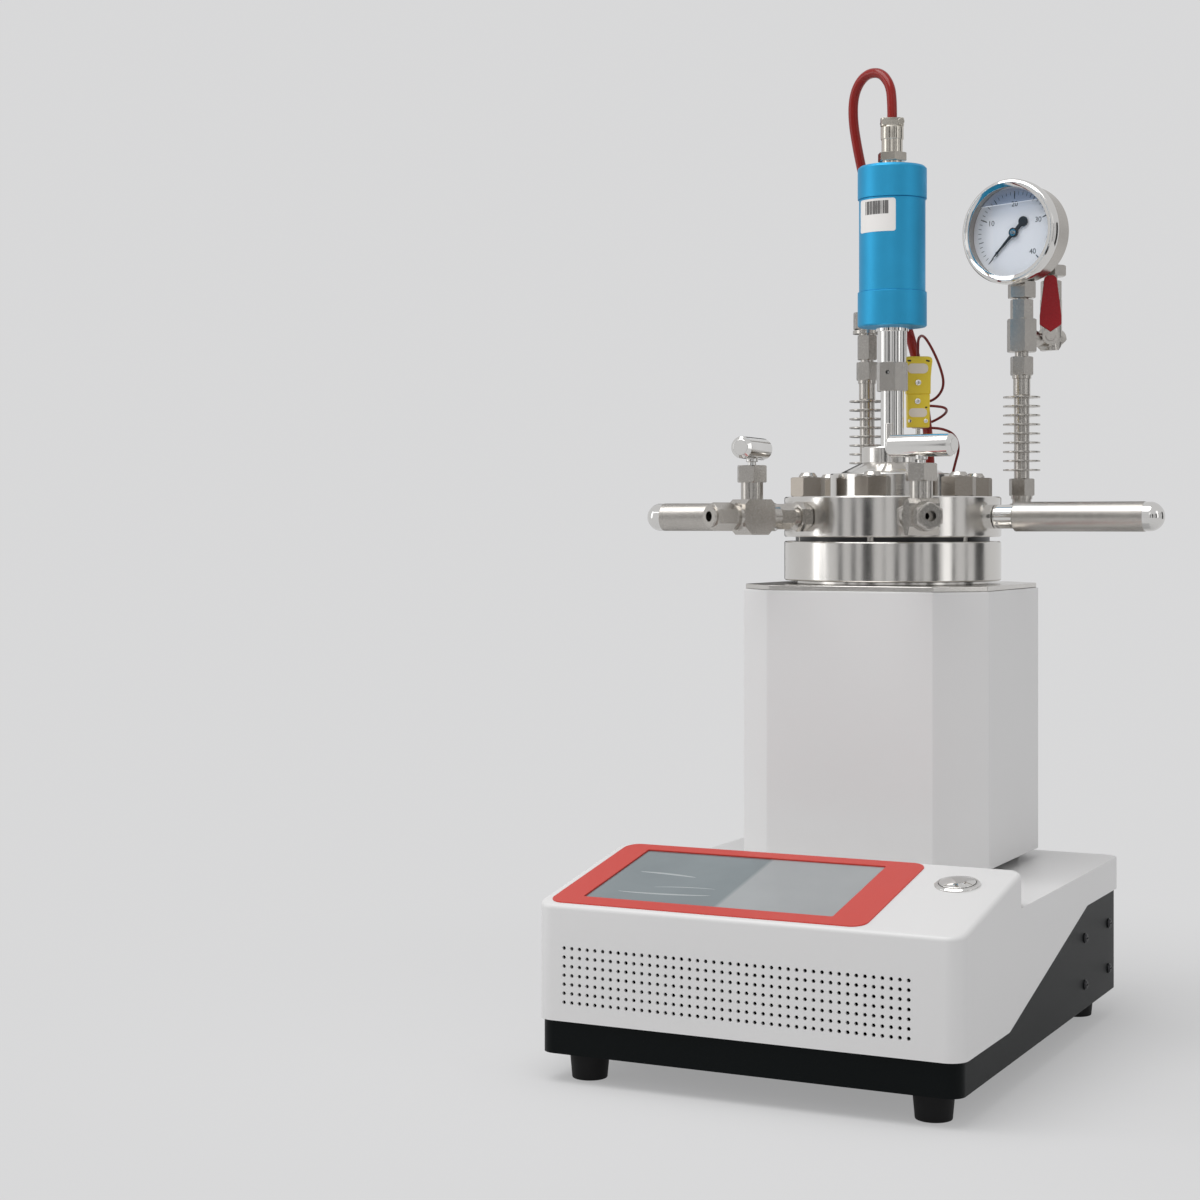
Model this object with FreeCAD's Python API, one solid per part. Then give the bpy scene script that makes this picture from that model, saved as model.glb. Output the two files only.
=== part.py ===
import FreeCAD, Part
import math
import os

# High pressure reactor: a heated, stirred steel vessel on a control base.
# Millimetres, +Z up. Everything is modelled about the vessel's axis at floor level, and the whole
# reactor is moved at the end so that the origin is the middle of its footprint on the floor.

V = FreeCAD.Vector

# Base
BASE_WIDTH = 257.0
BASE_FRONT = 255.5          # from the vessel's axis to the front face
BASE_REAR = 87.5            # from the vessel's axis to the rear face
BASE_CORNER_R = 11.0
CONSOLE_CORNER_R = 9.0      # plan radius of the console's two rear corners
FOOT_HEIGHT = 17.0
FOOT_TOP_R = 11.8
FOOT_BOTTOM_R = 10.3
FOOT_INSET = 22.0
COVER_WALL = 1.5
COVER_EDGE_Z = 36.4         # lower edge of the white cover at the front
COVER_REAR_EDGE_Z = 82.4    # lower edge of the white cover at the rear
COVER_EDGE_RISE_START = 168.4   # in front of the axis
COVER_EDGE_RISE_END = 2.8       # behind the axis
CONSOLE_FRONT_Z = 103.3
CONSOLE_REAR_Z = 124.3
CONSOLE_REAR = 137.8        # from the vessel's axis forwards
DECK_Z = 103.0
COVER_EDGE_R = 3.0
TRAY_WALL = 1.5
TRAY_FRONT_LIP = 6.0        # how far the tray's front goes up behind the cover
LAP_CLEARANCE = 0.3
PANEL_THICKNESS = 1.5
PANEL_LAP = 5.0
PANEL_MARGIN_LOW = 5.0      # above the tray's floor
PANEL_MARGIN_HIGH = 2.0     # below the cover's rear edge
GRILLE_LEFT = 109.4         # from the axis to the middle of the first column
GRILLE_LOW_Z = 47.5
GRILLE_PITCH_X = 4.95
GRILLE_PITCH_Z = 5.2
GRILLE_COLUMNS = 43
GRILLE_ROWS = 7
GRILLE_HOLE = 2.1           # across flats

# Console
BEZEL_WIDTH = 194.0
BEZEL_LEFT = 122.5          # from the axis to the bezel's left edge
BEZEL_DEPTH = 112.0
BEZEL_FRONT_MARGIN = 4.0
BEZEL_RAISE = 0.6
BEZEL_SET_IN = 1.0
BEZEL_CORNER_R = 9.0
WINDOW_WIDTH = 154.0
WINDOW_DEPTH = 90.0
WINDOW_LEFT_MARGIN = 17.5
WINDOW_FRONT_MARGIN = 12.5
SCREEN_THICKNESS = 6.0
SCREEN_DROP = 0.9           # the glass lies this far below the bezel's face
SCREEN_LEDGE = 2.7          # how far the panel reaches under the bezel
SCREEN_CLEARANCE = 0.3
BUTTON_X = 99.3
BUTTON_FORWARD = 172.6
BUTTON_RING_R = 13.2
BUTTON_RING_HEIGHT = 1.6
BUTTON_R = 10.6
BUTTON_DOME = 2.2
BUTTON_WALL = 1.0           # of the ring's body round the cap
BUTTON_STEM_R = 7.2
BUTTON_BODY_DEPTH = 22.0
BUTTON_CLEARANCE = 0.3
BUTTON_TRAVEL = 1.5

# Rear and side fittings
SIDE_SCREW_Y = (2.8, 62.8)
SIDE_SCREW_Z = (32.3, 61.7)
SCREW_HEAD_R = 3.2
SCREW_HEAD_H = 1.8
INLET_X = 62.0
INLET_Z = 50.0
INLET_WIDTH = 50.0
INLET_HEIGHT = 28.0
INLET_FLANGE = 3.0
INLET_CORNER_R = 4.0
INLET_BODY_HALF_X = 14.2
INLET_BODY_HALF_Z = 10.2
INLET_BODY_DEPTH = 26.0
INLET_WALL = 2.0
INLET_WELL_DEPTH = 17.0
INLET_PIN_LENGTH = 14.0
INLET_PIN_HALF_X = 1.0
INLET_PIN_HALF_Z = 2.0
INLET_PINS = ((-7.0, -4.2), (7.0, -4.2), (0.0, -0.2))
CUTOUT_CLEARANCE = 0.3
GLAND_Z = 58.0
GLAND_LENGTH = 15.0
GLAND_THREAD_R = 6.0
GLAND_THREAD = 8.0
GLAND_HEAD_R = 9.0
GLAND_DOME_R = 7.2
GLAND_SEAL = 4.0            # the rubber seal that closes on the cord at the mouth
GLAND_NUT_AF = 16.0
GLAND_NUT_H = 4.0
MOTOR_GLAND_X = -22.0
PROBE_GLAND_X = 14.0

# Heater tower
TOWER_HALF = 82.2
TOWER_CHAMFER = 27.3
TOWER_BOTTOM_Z = 109.1
TOWER_TOP_Z = 281.2
SHELL_WALL = 1.5
PLINTH_INSET = 12.0
PLINTH_WALL = 2.0
TOP_PLATE_INSET = 1.2
TOP_PLATE_H = 3.2
BLOCK_WALL = 12.0
BLOCK_FLOOR = 10.0
INSULATION_CLEARANCE = 0.4

# Vessel and lid
FLANGE_R = 70.4
FLANGE_H = 25.6
FLANGE_EDGE = 0.8
RIM_CLEARANCE = 0.1         # between the round rim and a fitting's flat face
VESSEL_R = 50.0
VESSEL_BORE_R = 37.5
VESSEL_BORE_DEPTH = 135.0
VESSEL_FLOOR = 16.0
SHOULDER_H = 2.0
SHOULDER_R = 62.0
GASKET_R = 63.0
GASKET_H = 2.8
LID_H = 26.0
BOSS_R = 40.5
BOSS_TOP_H = 15.2           # above the lid's top face
CONE_TOP_R = 20.5
CONE_H = 7.0
STUD_R = 6.0
STUD_CIRCLE_R = 57.0
STUD_CLEARANCE = 0.3
STUD_TURN = 36.6
STUD_TIP = 3.0
NUT_AF = 20.0
NUT_H = 12.6
LID_TURN = -1.8             # degrees, of the handles and ports
PORT_STEP = 60.0
HANDLE_NECK_R = 7.75
HANDLE_GRIP_R = 9.2
HANDLE_NECK_LENGTH = 12.5
HANDLE_GRIP_LENGTH = 85.0
HANDLE_DOME_LENGTH = 11.0
HANDLE_BEVEL = 0.8
HANDLE_SPIGOT = 10.0        # length screwed into the lid
PORT_SPIGOT = 9.0
PORT_SPIGOT_R = 5.0

# Stirring drive
SHAFT_R = 4.0
SHAFT_CLEARANCE = 0.08
HUB_R = 20.0
HUB_H = 10.5
STUB_R = 2.6
STUB_H = 15.0
TUBE_R = 7.5
TUBE_TOP_Z = 412.0
COLLAR_AF = 18.6
COLLAR_BOTTOM_Z = 410.0
COLLAR_TOP_Z = 428.6
SLEEVE_R = 9.6
MOTOR_R = 21.6
MOTOR_CAP_R = 22.5
MOTOR_BOTTOM_Z = 452.0
MOTOR_CAP_H = 22.8
MOTOR_TOP_Z = 557.0
SOCKET_AF = 17.0
CABLE_R = 3.25
IMPELLER_R = 19.0
IMPELLER_BLADE_H = 12.0
IMPELLER_FLOOR_GAP = 12.0

# Lid fittings, measured outwards along each port
STACK_REACH = 42.1          # from the lid's rim to the axis of a valve or stack
ADAPTER_AF = 16.5
ADAPTER_H = 8.5
ADAPTER_NECK_R = 5.4
ADAPTER_NECK_LENGTH = 4.0
FLOW_R = 2.2                # bore of the small fittings
INLET_NUT_AF = 14.0
INLET_NUT_LENGTH = 11.0
VALVE_ARM_R = 7.6
VALVE_ARM_REACH = 15.5      # from the stem's axis to the outlet nut
VALVE_BLOCK_HALF = 11.5
VALVE_BLOCK_LOW = 11.5      # below the port's axis
VALVE_BLOCK_HIGH = 10.8
OUTLET_NUT_AF = 15.3
OUTLET_NUT_LENGTH = 15.0
OUTLET_FACE_R = 6.6
OUTLET_FACE_H = 2.4
OUTLET_BORE_R = 3.3
BONNET_R = 7.0
BONNET_H = 10.6
BONNET_AF = 17.5
BONNET_HEX_H = 10.8
STEM_R = 2.6
STEM_CLEARANCE = 0.08
STEM_DEPTH = 12.0
STEM_GAP = 3.8
TBAR_R = 6.9
TBAR_LENGTH = 46.0
LEFT_TBAR_ANGLE = 274.6
FRONT_TBAR_ANGLE = -12.0

# Cooling stacks on the two rear ports
ELBOW_R = 8.0
STACK_NUT_AF = 15.5
STACK_NUT_Z = (340.0, 354.0)
UPPER_NUT_Z = (422.0, 437.0)
UPPER_NUT_AF = 14.0
FIN_R = 12.5
FIN_COUNT = 9
FIN_PITCH = 6.2
FIN_THICKNESS = 1.1
FIN_START_Z = 359.2
FIN_CORE_R = 5.2
FIN_TUBE_BODY_R = 5.75
TEE_AF = 18.0
TEE_Z = (440.0, 462.7)
TEE_TOP_AF = 14.0
TEE_TOP_Z = 475.7

# Gauge
GAUGE_Z = 520.5
GAUGE_FACING = -103.0
GAUGE_CASE_R = 33.0
GAUGE_RING_R = 35.6
GAUGE_BACK = -8.0           # behind the stack's axis
GAUGE_FRONT = 20.5
GAUGE_RING_START = 12.5
GAUGE_DIAL_R = 29.9
GAUGE_DIAL_AT = 9.0
GAUGE_WINDOW_AT = 17.0
GAUGE_STEM_AF = 17.0
GAUGE_STEM_Z = (476.8, 487.9)
POINTER_REST = 225.0        # degrees round the dial from three o'clock
POINTER_LENGTH = 24.0
POINTER_TAIL = 10.0
POINTER_PIN_R = 1.2
POINTER_CLEARANCE = 0.06

# Vent branch on the tee
VENT_OFFSET = 26.7
VENT_Z = 449.5
VENT_R = 7.4
VENT_NUT_AF = 12.7
VENT_NUT_Z = (477.0, 490.0)
VENT_CAP_AF = 18.0
VENT_CAP_Z = (493.0, 500.5)
VENT_ARM_R = 4.6
TEE_PORT_REACH = 11.5       # from the stack's axis to the end of the tee's side port
LEVER_Z = 451.0
LEVER_FACING = -76.0
LEVER_STEM_R = 2.6
LEVER_STEM_DEPTH = 9.4
LEVER_BOSS_R = 4.6
LEVER_AT = 12.5             # from the vent's axis to the lever's back face
LEVER_THICKNESS = 2.0
LEVER_CLEARANCE = 0.3       # between the boss and the sleeve that passes over it
LEVER_STRAP_HALF = 3.6
LEVER_END_R = 5.6
LEVER_NUT_AF = 6.0
LEVER_NUT_H = 1.6
LEVER_TOP = 39.0            # above the pivot
SLEEVE_WALL = 0.9
SLEEVE_TOP = 41.5
SLEEVE_BOTTOM = 3.0
LEVER_WIDE = 14.6
LEVER_NARROW = 8.4

# Relief head
RELIEF_BLOCK_AF = 12.6
RELIEF_BLOCK_Z = (438.7, 455.8)
RELIEF_RING_R = 10.0
RELIEF_CAP_AF = 18.0
RELIEF_CAP_TOP = 472.0

# Thermocouple
PROBE_X = 9.6
PROBE_Y = 23.8
PROBE_R = 1.6
PROBE_FITTING_R = 3.4
PROBE_FITTING_H = 11.0
PROBE_PLUG_T = 8.0
PROBE_PLUG_HALF = 8.0       # half width where the plug meets the socket
PROBE_PLUG_FLARE = 1.2      # the plug widens by this on each side towards its lead
PROBE_PLUG_CORNER = 2.6
PROBE_SOCKET_HALF = 7.4
PROBE_LABEL_HALF = 6.2
PROBE_RECESS = 0.4
PROBE_SOCKET_LABEL_Z = (393.6, 399.7)
PROBE_PLUG_LABEL_Z = (422.5, 429.2)
PROBE_SOCKET_Z = (387.0, 409.0)
PROBE_PLUG_TOP = 434.0
PROBE_FACING = -63.4        # the flat side of the connectors faces this way
PROBE_LEAD_R = 0.9

# Heights that follow from the sizes above
plate_top_z = TOWER_TOP_Z + TOP_PLATE_H
flange_bottom_z = plate_top_z + SHOULDER_H
flange_top_z = flange_bottom_z + FLANGE_H
lid_bottom_z = flange_top_z + GASKET_H
lid_top_z = lid_bottom_z + LID_H
port_z = lid_bottom_z + LID_H / 2.0
boss_top_z = lid_top_z + BOSS_TOP_H
cone_top_z = boss_top_z + CONE_H
hub_top_z = cone_top_z + HUB_H
bore_bottom_z = flange_top_z - VESSEL_BORE_DEPTH
vessel_bottom_z = bore_bottom_z - VESSEL_FLOOR
adapter_start = FLANGE_R + RIM_CLEARANCE
adapter_end = adapter_start + ADAPTER_H
inlet_nut_start = adapter_end + ADAPTER_NECK_LENGTH
inlet_nut_end = inlet_nut_start + INLET_NUT_LENGTH
stack_r = FLANGE_R + STACK_REACH
valve_arm_end = stack_r + VALVE_ARM_REACH
outlet_nut_end = valve_arm_end + OUTLET_NUT_LENGTH
handle_neck_end = adapter_start + HANDLE_NECK_LENGTH
handle_grip_end = handle_neck_end + HANDLE_GRIP_LENGTH
handle_end = handle_grip_end + HANDLE_DOME_LENGTH
lid_angles = [LID_TURN + PORT_STEP * k for k in range(6)]
right_handle_angle = lid_angles[0]
gauge_angle = lid_angles[1]
relief_angle = lid_angles[2]
left_handle_angle = lid_angles[3]
left_valve_angle = lid_angles[4]
front_valve_angle = lid_angles[5]

pieces = {}


def cylinder(radius, low, high, x=0.0, y=0.0):
    """An upright cylinder from height low to height high."""
    return Part.makeCylinder(radius, high - low, V(x, y, low))


def turned(profile):
    """A solid of revolution about the vertical axis from (radius, height) points."""
    points = [V(radius, 0, height) for radius, height in profile]
    face = Part.Face(Part.makePolygon(points + points[:1]))
    return face.revolve(V(0, 0, 0), V(0, 0, 1), 360)


def box(x0, x1, y0, y1, z0, z1):
    """An upright box between two corners."""
    return Part.makeBox(x1 - x0, y1 - y0, z1 - z0, V(x0, y0, z0))


def prism(points, low, high):
    """An upright prism over a closed outline of (x, y) points."""
    corners = [V(x, y, low) for x, y in points]
    face = Part.Face(Part.makePolygon(corners + corners[:1]))
    return face.extrude(V(0, 0, high - low))


def hexagon(across_flats, low, high, chamfer=0.0):
    """A hexagonal bar along Z, its corners turned off by chamfer at both ends."""
    radius = across_flats / math.sqrt(3.0)
    corners = [(radius * math.cos(math.radians(60 * k)), radius * math.sin(math.radians(60 * k)))
               for k in range(6)]
    bar = prism(corners, low, high)
    if chamfer <= 0:
        return bar
    fall = chamfer * 0.6
    turning = turned([(0, low), (radius - chamfer, low), (radius + 0.01, low + fall),
                      (radius + 0.01, high - fall), (radius - chamfer, high), (0, high)])
    return bar.common(turning)


def octagon(half, chamfer):
    """The outline of a square of the given half width with cut corners."""
    a, b = half, half - chamfer
    return [(-b, -a), (b, -a), (a, -b), (a, b), (b, a), (-b, a), (-a, b), (-a, -b)]


def rounded_block(x0, x1, y0, y1, z0, z1, radius):
    """A box with its four upright edges rounded."""
    block = box(x0, x1, y0, y1, z0, z1)
    upright = [edge for edge in block.Edges if abs(edge.BoundBox.ZLength - (z1 - z0)) < 1e-6]
    return block.makeFillet(radius, upright)


def turn(shape, angle):
    """A copy turned about the vessel's axis."""
    copy = shape.copy()
    copy.rotate(V(0, 0, 0), V(0, 0, 1), angle)
    return copy


def moved(shape, x, y, z=0.0):
    """A copy moved without turning."""
    copy = shape.copy()
    copy.translate(V(x, y, z))
    return copy


def on_port(shape, angle):
    """Take a shape whose Z is the distance from the vessel's axis and lay it along a lid port."""
    copy = shape.copy()
    copy.rotate(V(0, 0, 0), V(0, 1, 0), 90)
    copy.translate(V(0, 0, port_z))
    return turn(copy, angle)


def on_station(shape, angle):
    """Stand an upright shape on a port's station."""
    return turn(moved(shape, stack_r, 0), angle)


def drilled(shape, *holes):
    """A shape with holes cut out of it."""
    for hole in holes:
        shape = shape.cut(hole)
    return shape


def joined(*shapes):
    """One solid made of shapes that meet."""
    result = shapes[0]
    for shape in shapes[1:]:
        result = result.fuse(shape)
    return result.removeSplitter()


# Base: a folded tray, open at the top, that carries the cover, the feet and the rear panel
half_width = BASE_WIDTH / 2.0
tray_inset = COVER_WALL + LAP_CLEARANCE
tray_half = half_width - tray_inset
tray_front = -BASE_FRONT + tray_inset
tray_rear = BASE_REAR - tray_inset
tray_top_z = DECK_Z - COVER_WALL - LAP_CLEARANCE
panel_half = tray_half - BASE_CORNER_R
panel_low = FOOT_HEIGHT + PANEL_MARGIN_LOW
panel_high = COVER_REAR_EDGE_Z - PANEL_MARGIN_HIGH
panel_face_y = tray_rear + PANEL_THICKNESS
slope = (CONSOLE_REAR_Z - CONSOLE_FRONT_Z) / (BASE_FRONT - CONSOLE_REAR)
slope_angle = math.degrees(math.atan(slope))


def extruded_side(points, half):
    """A solid over a side outline of (y, z) points, from -half to half across the base."""
    corners = [V(-half, y, z) for y, z in points]
    face = Part.Face(Part.makePolygon(corners + corners[:1]))
    return face.extrude(V(2 * half, 0, 0))


def base_tray():
    outer = rounded_block(-tray_half, tray_half, tray_front, tray_rear, FOOT_HEIGHT, tray_top_z,
                          BASE_CORNER_R - tray_inset)
    inner = rounded_block(-tray_half + TRAY_WALL, tray_half - TRAY_WALL,
                          tray_front + TRAY_WALL, tray_rear - TRAY_WALL, FOOT_HEIGHT + TRAY_WALL,
                          tray_top_z + 1, BASE_CORNER_R - tray_inset - TRAY_WALL)
    shell = outer.cut(inner)
    rear_opening = box(-panel_half + PANEL_LAP, panel_half - PANEL_LAP,
                       tray_rear - TRAY_WALL - 1, tray_rear + 1,
                       panel_low + PANEL_LAP, panel_high - PANEL_LAP)
    lip_z = COVER_EDGE_Z + TRAY_FRONT_LIP
    rise = (COVER_REAR_EDGE_Z - COVER_EDGE_Z) / (COVER_EDGE_RISE_START + COVER_EDGE_RISE_END)
    upper = extruded_side([(-BASE_FRONT - 1, lip_z), (-COVER_EDGE_RISE_START - TRAY_FRONT_LIP, lip_z),
                           (COVER_EDGE_RISE_END, COVER_REAR_EDGE_Z + TRAY_FRONT_LIP * (1 + rise)),
                           (BASE_REAR + 1, COVER_REAR_EDGE_Z + TRAY_FRONT_LIP * (1 + rise)),
                           (BASE_REAR + 1, CONSOLE_REAR_Z), (-BASE_FRONT - 1, CONSOLE_REAR_Z)],
                          half_width + 1)
    return drilled(shell, rear_opening, upper)


def cover_body(inset):
    """The cover's outer form, or with an inset its hollow: a flat deck and the sloped console."""
    half = half_width - inset
    front = -BASE_FRONT + inset
    rear = BASE_REAR - inset
    step = -CONSOLE_REAR - inset
    deck_z = DECK_Z - inset
    below = 1.0 if inset > 0 else 0.0
    low_edge = COVER_EDGE_Z - below
    rear_edge = COVER_REAR_EDGE_Z - below
    front_z = CONSOLE_FRONT_Z + inset * slope - inset / math.cos(math.radians(slope_angle))
    step_z = front_z + (step - front) * slope
    body = extruded_side([(front, low_edge), (front, front_z), (step, step_z), (step, deck_z), (rear, deck_z),
                          (rear, rear_edge), (COVER_EDGE_RISE_END, rear_edge),
                          (-COVER_EDGE_RISE_START, low_edge)], half)
    top_z = CONSOLE_REAR_Z + 1
    base_plan = rounded_block(-half, half, front, rear, FOOT_HEIGHT, top_z, BASE_CORNER_R - inset)
    console_plan = rounded_block(-half, half, front, step, FOOT_HEIGHT, top_z, CONSOLE_CORNER_R - inset)
    deck_slab = box(-half, half, front, rear, FOOT_HEIGHT, deck_z)
    body = body.common(base_plan).common(console_plan.fuse(deck_slab)).removeSplitter()
    edge_r = COVER_EDGE_R - inset
    if edge_r <= 0:
        return body
    slopes = [face for face in body.Faces
              if face.BoundBox.ZMax > deck_z + edge_r and face.normalAt(0, 0).z > 0.9]
    return body.makeFillet(edge_r, slopes[0].Edges)


def on_slope(shape, x, forward, raise_by=0.0):
    """Lay an upright shape on the console's slope, its base point at x and forward of the axis."""
    copy = shape.copy()
    copy.rotate(V(0, 0, 0), V(1, 0, 0), slope_angle)
    height = CONSOLE_FRONT_Z + (BASE_FRONT - forward) * slope
    normal = V(0, -math.sin(math.radians(slope_angle)), math.cos(math.radians(slope_angle)))
    copy.translate(V(x, -forward, height) + normal * raise_by)
    return copy


button_pocket_r = BUTTON_R + BUTTON_CLEARANCE
button_body_r = button_pocket_r + BUTTON_WALL
bezel_front = BASE_FRONT - BEZEL_FRONT_MARGIN
bezel_x = -BEZEL_LEFT


def bezel_block(x0, x1, y0, y1, low, high, radius):
    """A rounded block in the slope's own plane, measured from the bezel's front left corner."""
    return on_slope(rounded_block(x0, x1, y0, y1, low, high, radius), bezel_x, bezel_front)


def screen_window(low, high, grow=0.0):
    """The bezel's window as a block, larger by grow on each side."""
    x0, y0 = WINDOW_LEFT_MARGIN, WINDOW_FRONT_MARGIN
    return bezel_block(x0 - grow, x0 + WINDOW_WIDTH + grow, y0 - grow, y0 + WINDOW_DEPTH + grow,
                       low, high, 1.0 + grow)


def grille():
    """The punched field of air holes in the cover's front, as one cutting shape."""
    punch = hexagon(GRILLE_HOLE, -1.0, COVER_WALL + 1.0)
    punch.rotate(V(0, 0, 0), V(1, 0, 0), -90)
    return Part.makeCompound([moved(punch, -GRILLE_LEFT + GRILLE_PITCH_X * column, -BASE_FRONT,
                                    GRILLE_LOW_Z + GRILLE_PITCH_Z * row)
                              for column in range(GRILLE_COLUMNS) for row in range(GRILLE_ROWS)])


def base_cover():
    seat = bezel_block(0, BEZEL_WIDTH, 0, BEZEL_DEPTH, -BEZEL_SET_IN, 10, BEZEL_CORNER_R)
    button_hole = on_slope(cylinder(button_body_r + BUTTON_CLEARANCE, -20, 20), BUTTON_X, BUTTON_FORWARD)
    panel_hole = screen_window(-20, 10, SCREEN_LEDGE + SCREEN_CLEARANCE)
    return drilled(cover_body(0), cover_body(COVER_WALL), seat, panel_hole, button_hole, grille())


pieces["base_tray"] = base_tray()
pieces["base_cover"] = base_cover()

# Console: a red plastic bezel round a touch screen, and a domed metal push button
bezel = bezel_block(0, BEZEL_WIDTH, 0, BEZEL_DEPTH, -BEZEL_SET_IN, BEZEL_RAISE, BEZEL_CORNER_R)
pieces["screen_bezel"] = bezel.cut(screen_window(-20, 20))
pieces["touch_screen"] = joined(
    screen_window(-BEZEL_SET_IN - SCREEN_THICKNESS, -BEZEL_SET_IN, SCREEN_LEDGE),
    screen_window(-BEZEL_SET_IN - 0.5, BEZEL_RAISE - SCREEN_DROP, -0.2))

button_floor = -BUTTON_TRAVEL - BUTTON_CLEARANCE
button_bore_r = BUTTON_STEM_R + BUTTON_CLEARANCE
ring_profile = [(button_pocket_r, BUTTON_RING_HEIGHT), (button_pocket_r, button_floor),
                (button_bore_r, button_floor), (button_bore_r, -BUTTON_BODY_DEPTH),
                (button_body_r, -BUTTON_BODY_DEPTH), (button_body_r, 0), (BUTTON_RING_R, 0),
                (BUTTON_RING_R, 0.7), (BUTTON_RING_R - 1.2, BUTTON_RING_HEIGHT)]
pieces["power_button_ring"] = on_slope(turned(ring_profile), BUTTON_X, BUTTON_FORWARD)


def button_cap():
    """A shallow dome on a guide stem, held up by a spring inside the ring."""
    skirt = 0.1
    rim = BUTTON_RING_HEIGHT + 0.3
    ball_r = (BUTTON_R ** 2 + BUTTON_DOME ** 2) / (2 * BUTTON_DOME)
    dome = Part.makeSphere(ball_r, V(0, 0, rim + BUTTON_DOME - ball_r))
    disc = cylinder(BUTTON_R, skirt, rim + BUTTON_DOME).common(dome.fuse(cylinder(BUTTON_R, skirt, rim)))
    stem = cylinder(BUTTON_STEM_R, -BUTTON_BODY_DEPTH + 2 * BUTTON_TRAVEL, skirt)
    return joined(disc, stem)


pieces["power_button_cap"] = on_slope(button_cap(), BUTTON_X, BUTTON_FORWARD)

# Feet: turned rubber, screwed under the tray's corners
foot = turned([(0, 3.0), (4.0, 3.0), (5.0, 0), (FOOT_BOTTOM_R, 0), (FOOT_TOP_R, FOOT_HEIGHT - 1.0),
               (FOOT_TOP_R - 1.0, FOOT_HEIGHT), (0, FOOT_HEIGHT)])
foot_x = tray_half - FOOT_INSET
pieces["rubber_feet"] = Part.makeCompound([moved(foot, x, y)
                                           for x in (-foot_x, foot_x)
                                           for y in (tray_front + FOOT_INSET, tray_rear - FOOT_INSET)])


# Side screws: pan heads in the tray's side walls
def side_screw(x, side, y, z):
    """A pan-head screw with its head outside a side wall; side is -1 or 1."""
    screw = turned([(0, -TRAY_WALL - 4), (1.4, -TRAY_WALL - 4), (1.4, 0), (SCREW_HEAD_R, 0),
                    (SCREW_HEAD_R, 0.7), (SCREW_HEAD_R - 1.0, SCREW_HEAD_H), (0, SCREW_HEAD_H)])
    arm = SCREW_HEAD_R * 0.6
    for reach_x, reach_y in ((arm, 0.4), (0.4, arm)):
        screw = screw.cut(box(-reach_x, reach_x, -reach_y, reach_y, SCREW_HEAD_H - 0.8, SCREW_HEAD_H + 1))
    screw.rotate(V(0, 0, 0), V(0, 1, 0), 90 * side)
    return moved(screw, x, y, z)


screws = []
for side in (-1, 1):
    for y in SIDE_SCREW_Y:
        for z in SIDE_SCREW_Z:
            screws.append(side_screw(side * tray_half, side, y, z))
            hole = Part.makeCylinder(1.4, 2 * TRAY_WALL, V(side * tray_half - TRAY_WALL, y, z), V(1, 0, 0))
            pieces["base_tray"] = pieces["base_tray"].cut(hole)
pieces["side_screws"] = Part.makeCompound(screws)

# Rear panel with a mains inlet and two cable glands
def rearward(shape, x, z):
    """Turn an upright shape to point out of the rear panel at x and z, its base on the panel."""
    copy = shape.copy()
    copy.rotate(V(0, 0, 0), V(1, 0, 0), -90)
    copy.translate(V(x, panel_face_y, z))
    return copy


def rear_panel():
    plate = box(-panel_half, panel_half, tray_rear, panel_face_y, panel_low, panel_high)
    half_x = INLET_BODY_HALF_X + CUTOUT_CLEARANCE
    half_z = INLET_BODY_HALF_Z + CUTOUT_CLEARANCE
    plate = plate.cut(box(INLET_X - half_x, INLET_X + half_x, tray_rear - 5, tray_rear + 5,
                          INLET_Z - half_z, INLET_Z + half_z))
    for x in (MOTOR_GLAND_X, PROBE_GLAND_X):
        plate = plate.cut(rearward(cylinder(GLAND_THREAD_R, -5, 5), x, GLAND_Z))
    return plate


def mains_inlet():
    """A three-pin appliance inlet: flange, tapered socket well and three flat pins."""
    half_width_x = INLET_WIDTH / 2
    half_height = INLET_HEIGHT / 2
    flange = rounded_block(-half_width_x, half_width_x, -half_height, half_height,
                           0, INLET_FLANGE, INLET_CORNER_R)
    body = box(-INLET_BODY_HALF_X, INLET_BODY_HALF_X, -INLET_BODY_HALF_Z, INLET_BODY_HALF_Z,
               -INLET_BODY_DEPTH, 0)
    x = INLET_BODY_HALF_X - INLET_WALL
    z = INLET_BODY_HALF_Z - INLET_WALL
    cut = z / 2
    well = prism([(-x, -z), (x, -z), (x, z - cut), (x - cut, z), (cut - x, z), (-x, z - cut)],
                 -INLET_WELL_DEPTH, INLET_FLANGE + 1)
    pins = [box(x - INLET_PIN_HALF_X, x + INLET_PIN_HALF_X, y - INLET_PIN_HALF_Z, y + INLET_PIN_HALF_Z,
                -INLET_WELL_DEPTH - 1, -INLET_WELL_DEPTH + INLET_PIN_LENGTH) for x, y in INLET_PINS]
    socket = joined(flange.fuse(body).cut(well), *pins)
    return rearward(socket, INLET_X, INLET_Z)


def gland(bore_r):
    """A threaded cable gland, closed on its cord by a seal, with its nut behind the panel."""
    seal_z = GLAND_LENGTH - GLAND_SEAL
    shape = turned([(0, seal_z), (bore_r, seal_z), (bore_r, -GLAND_THREAD), (GLAND_THREAD_R, -GLAND_THREAD),
                    (GLAND_THREAD_R, 0), (GLAND_HEAD_R, 0), (GLAND_HEAD_R, 5.0), (GLAND_DOME_R, 6.5),
                    (GLAND_DOME_R, 12.0), (bore_r + 1.4, GLAND_LENGTH), (0, GLAND_LENGTH)])
    nut_top = -PANEL_THICKNESS - TRAY_WALL
    nut = hexagon(GLAND_NUT_AF, nut_top - GLAND_NUT_H, nut_top).cut(
        cylinder(GLAND_THREAD_R - 0.1, nut_top - GLAND_NUT_H - 1, nut_top + 1))
    return joined(shape, nut)


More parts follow.
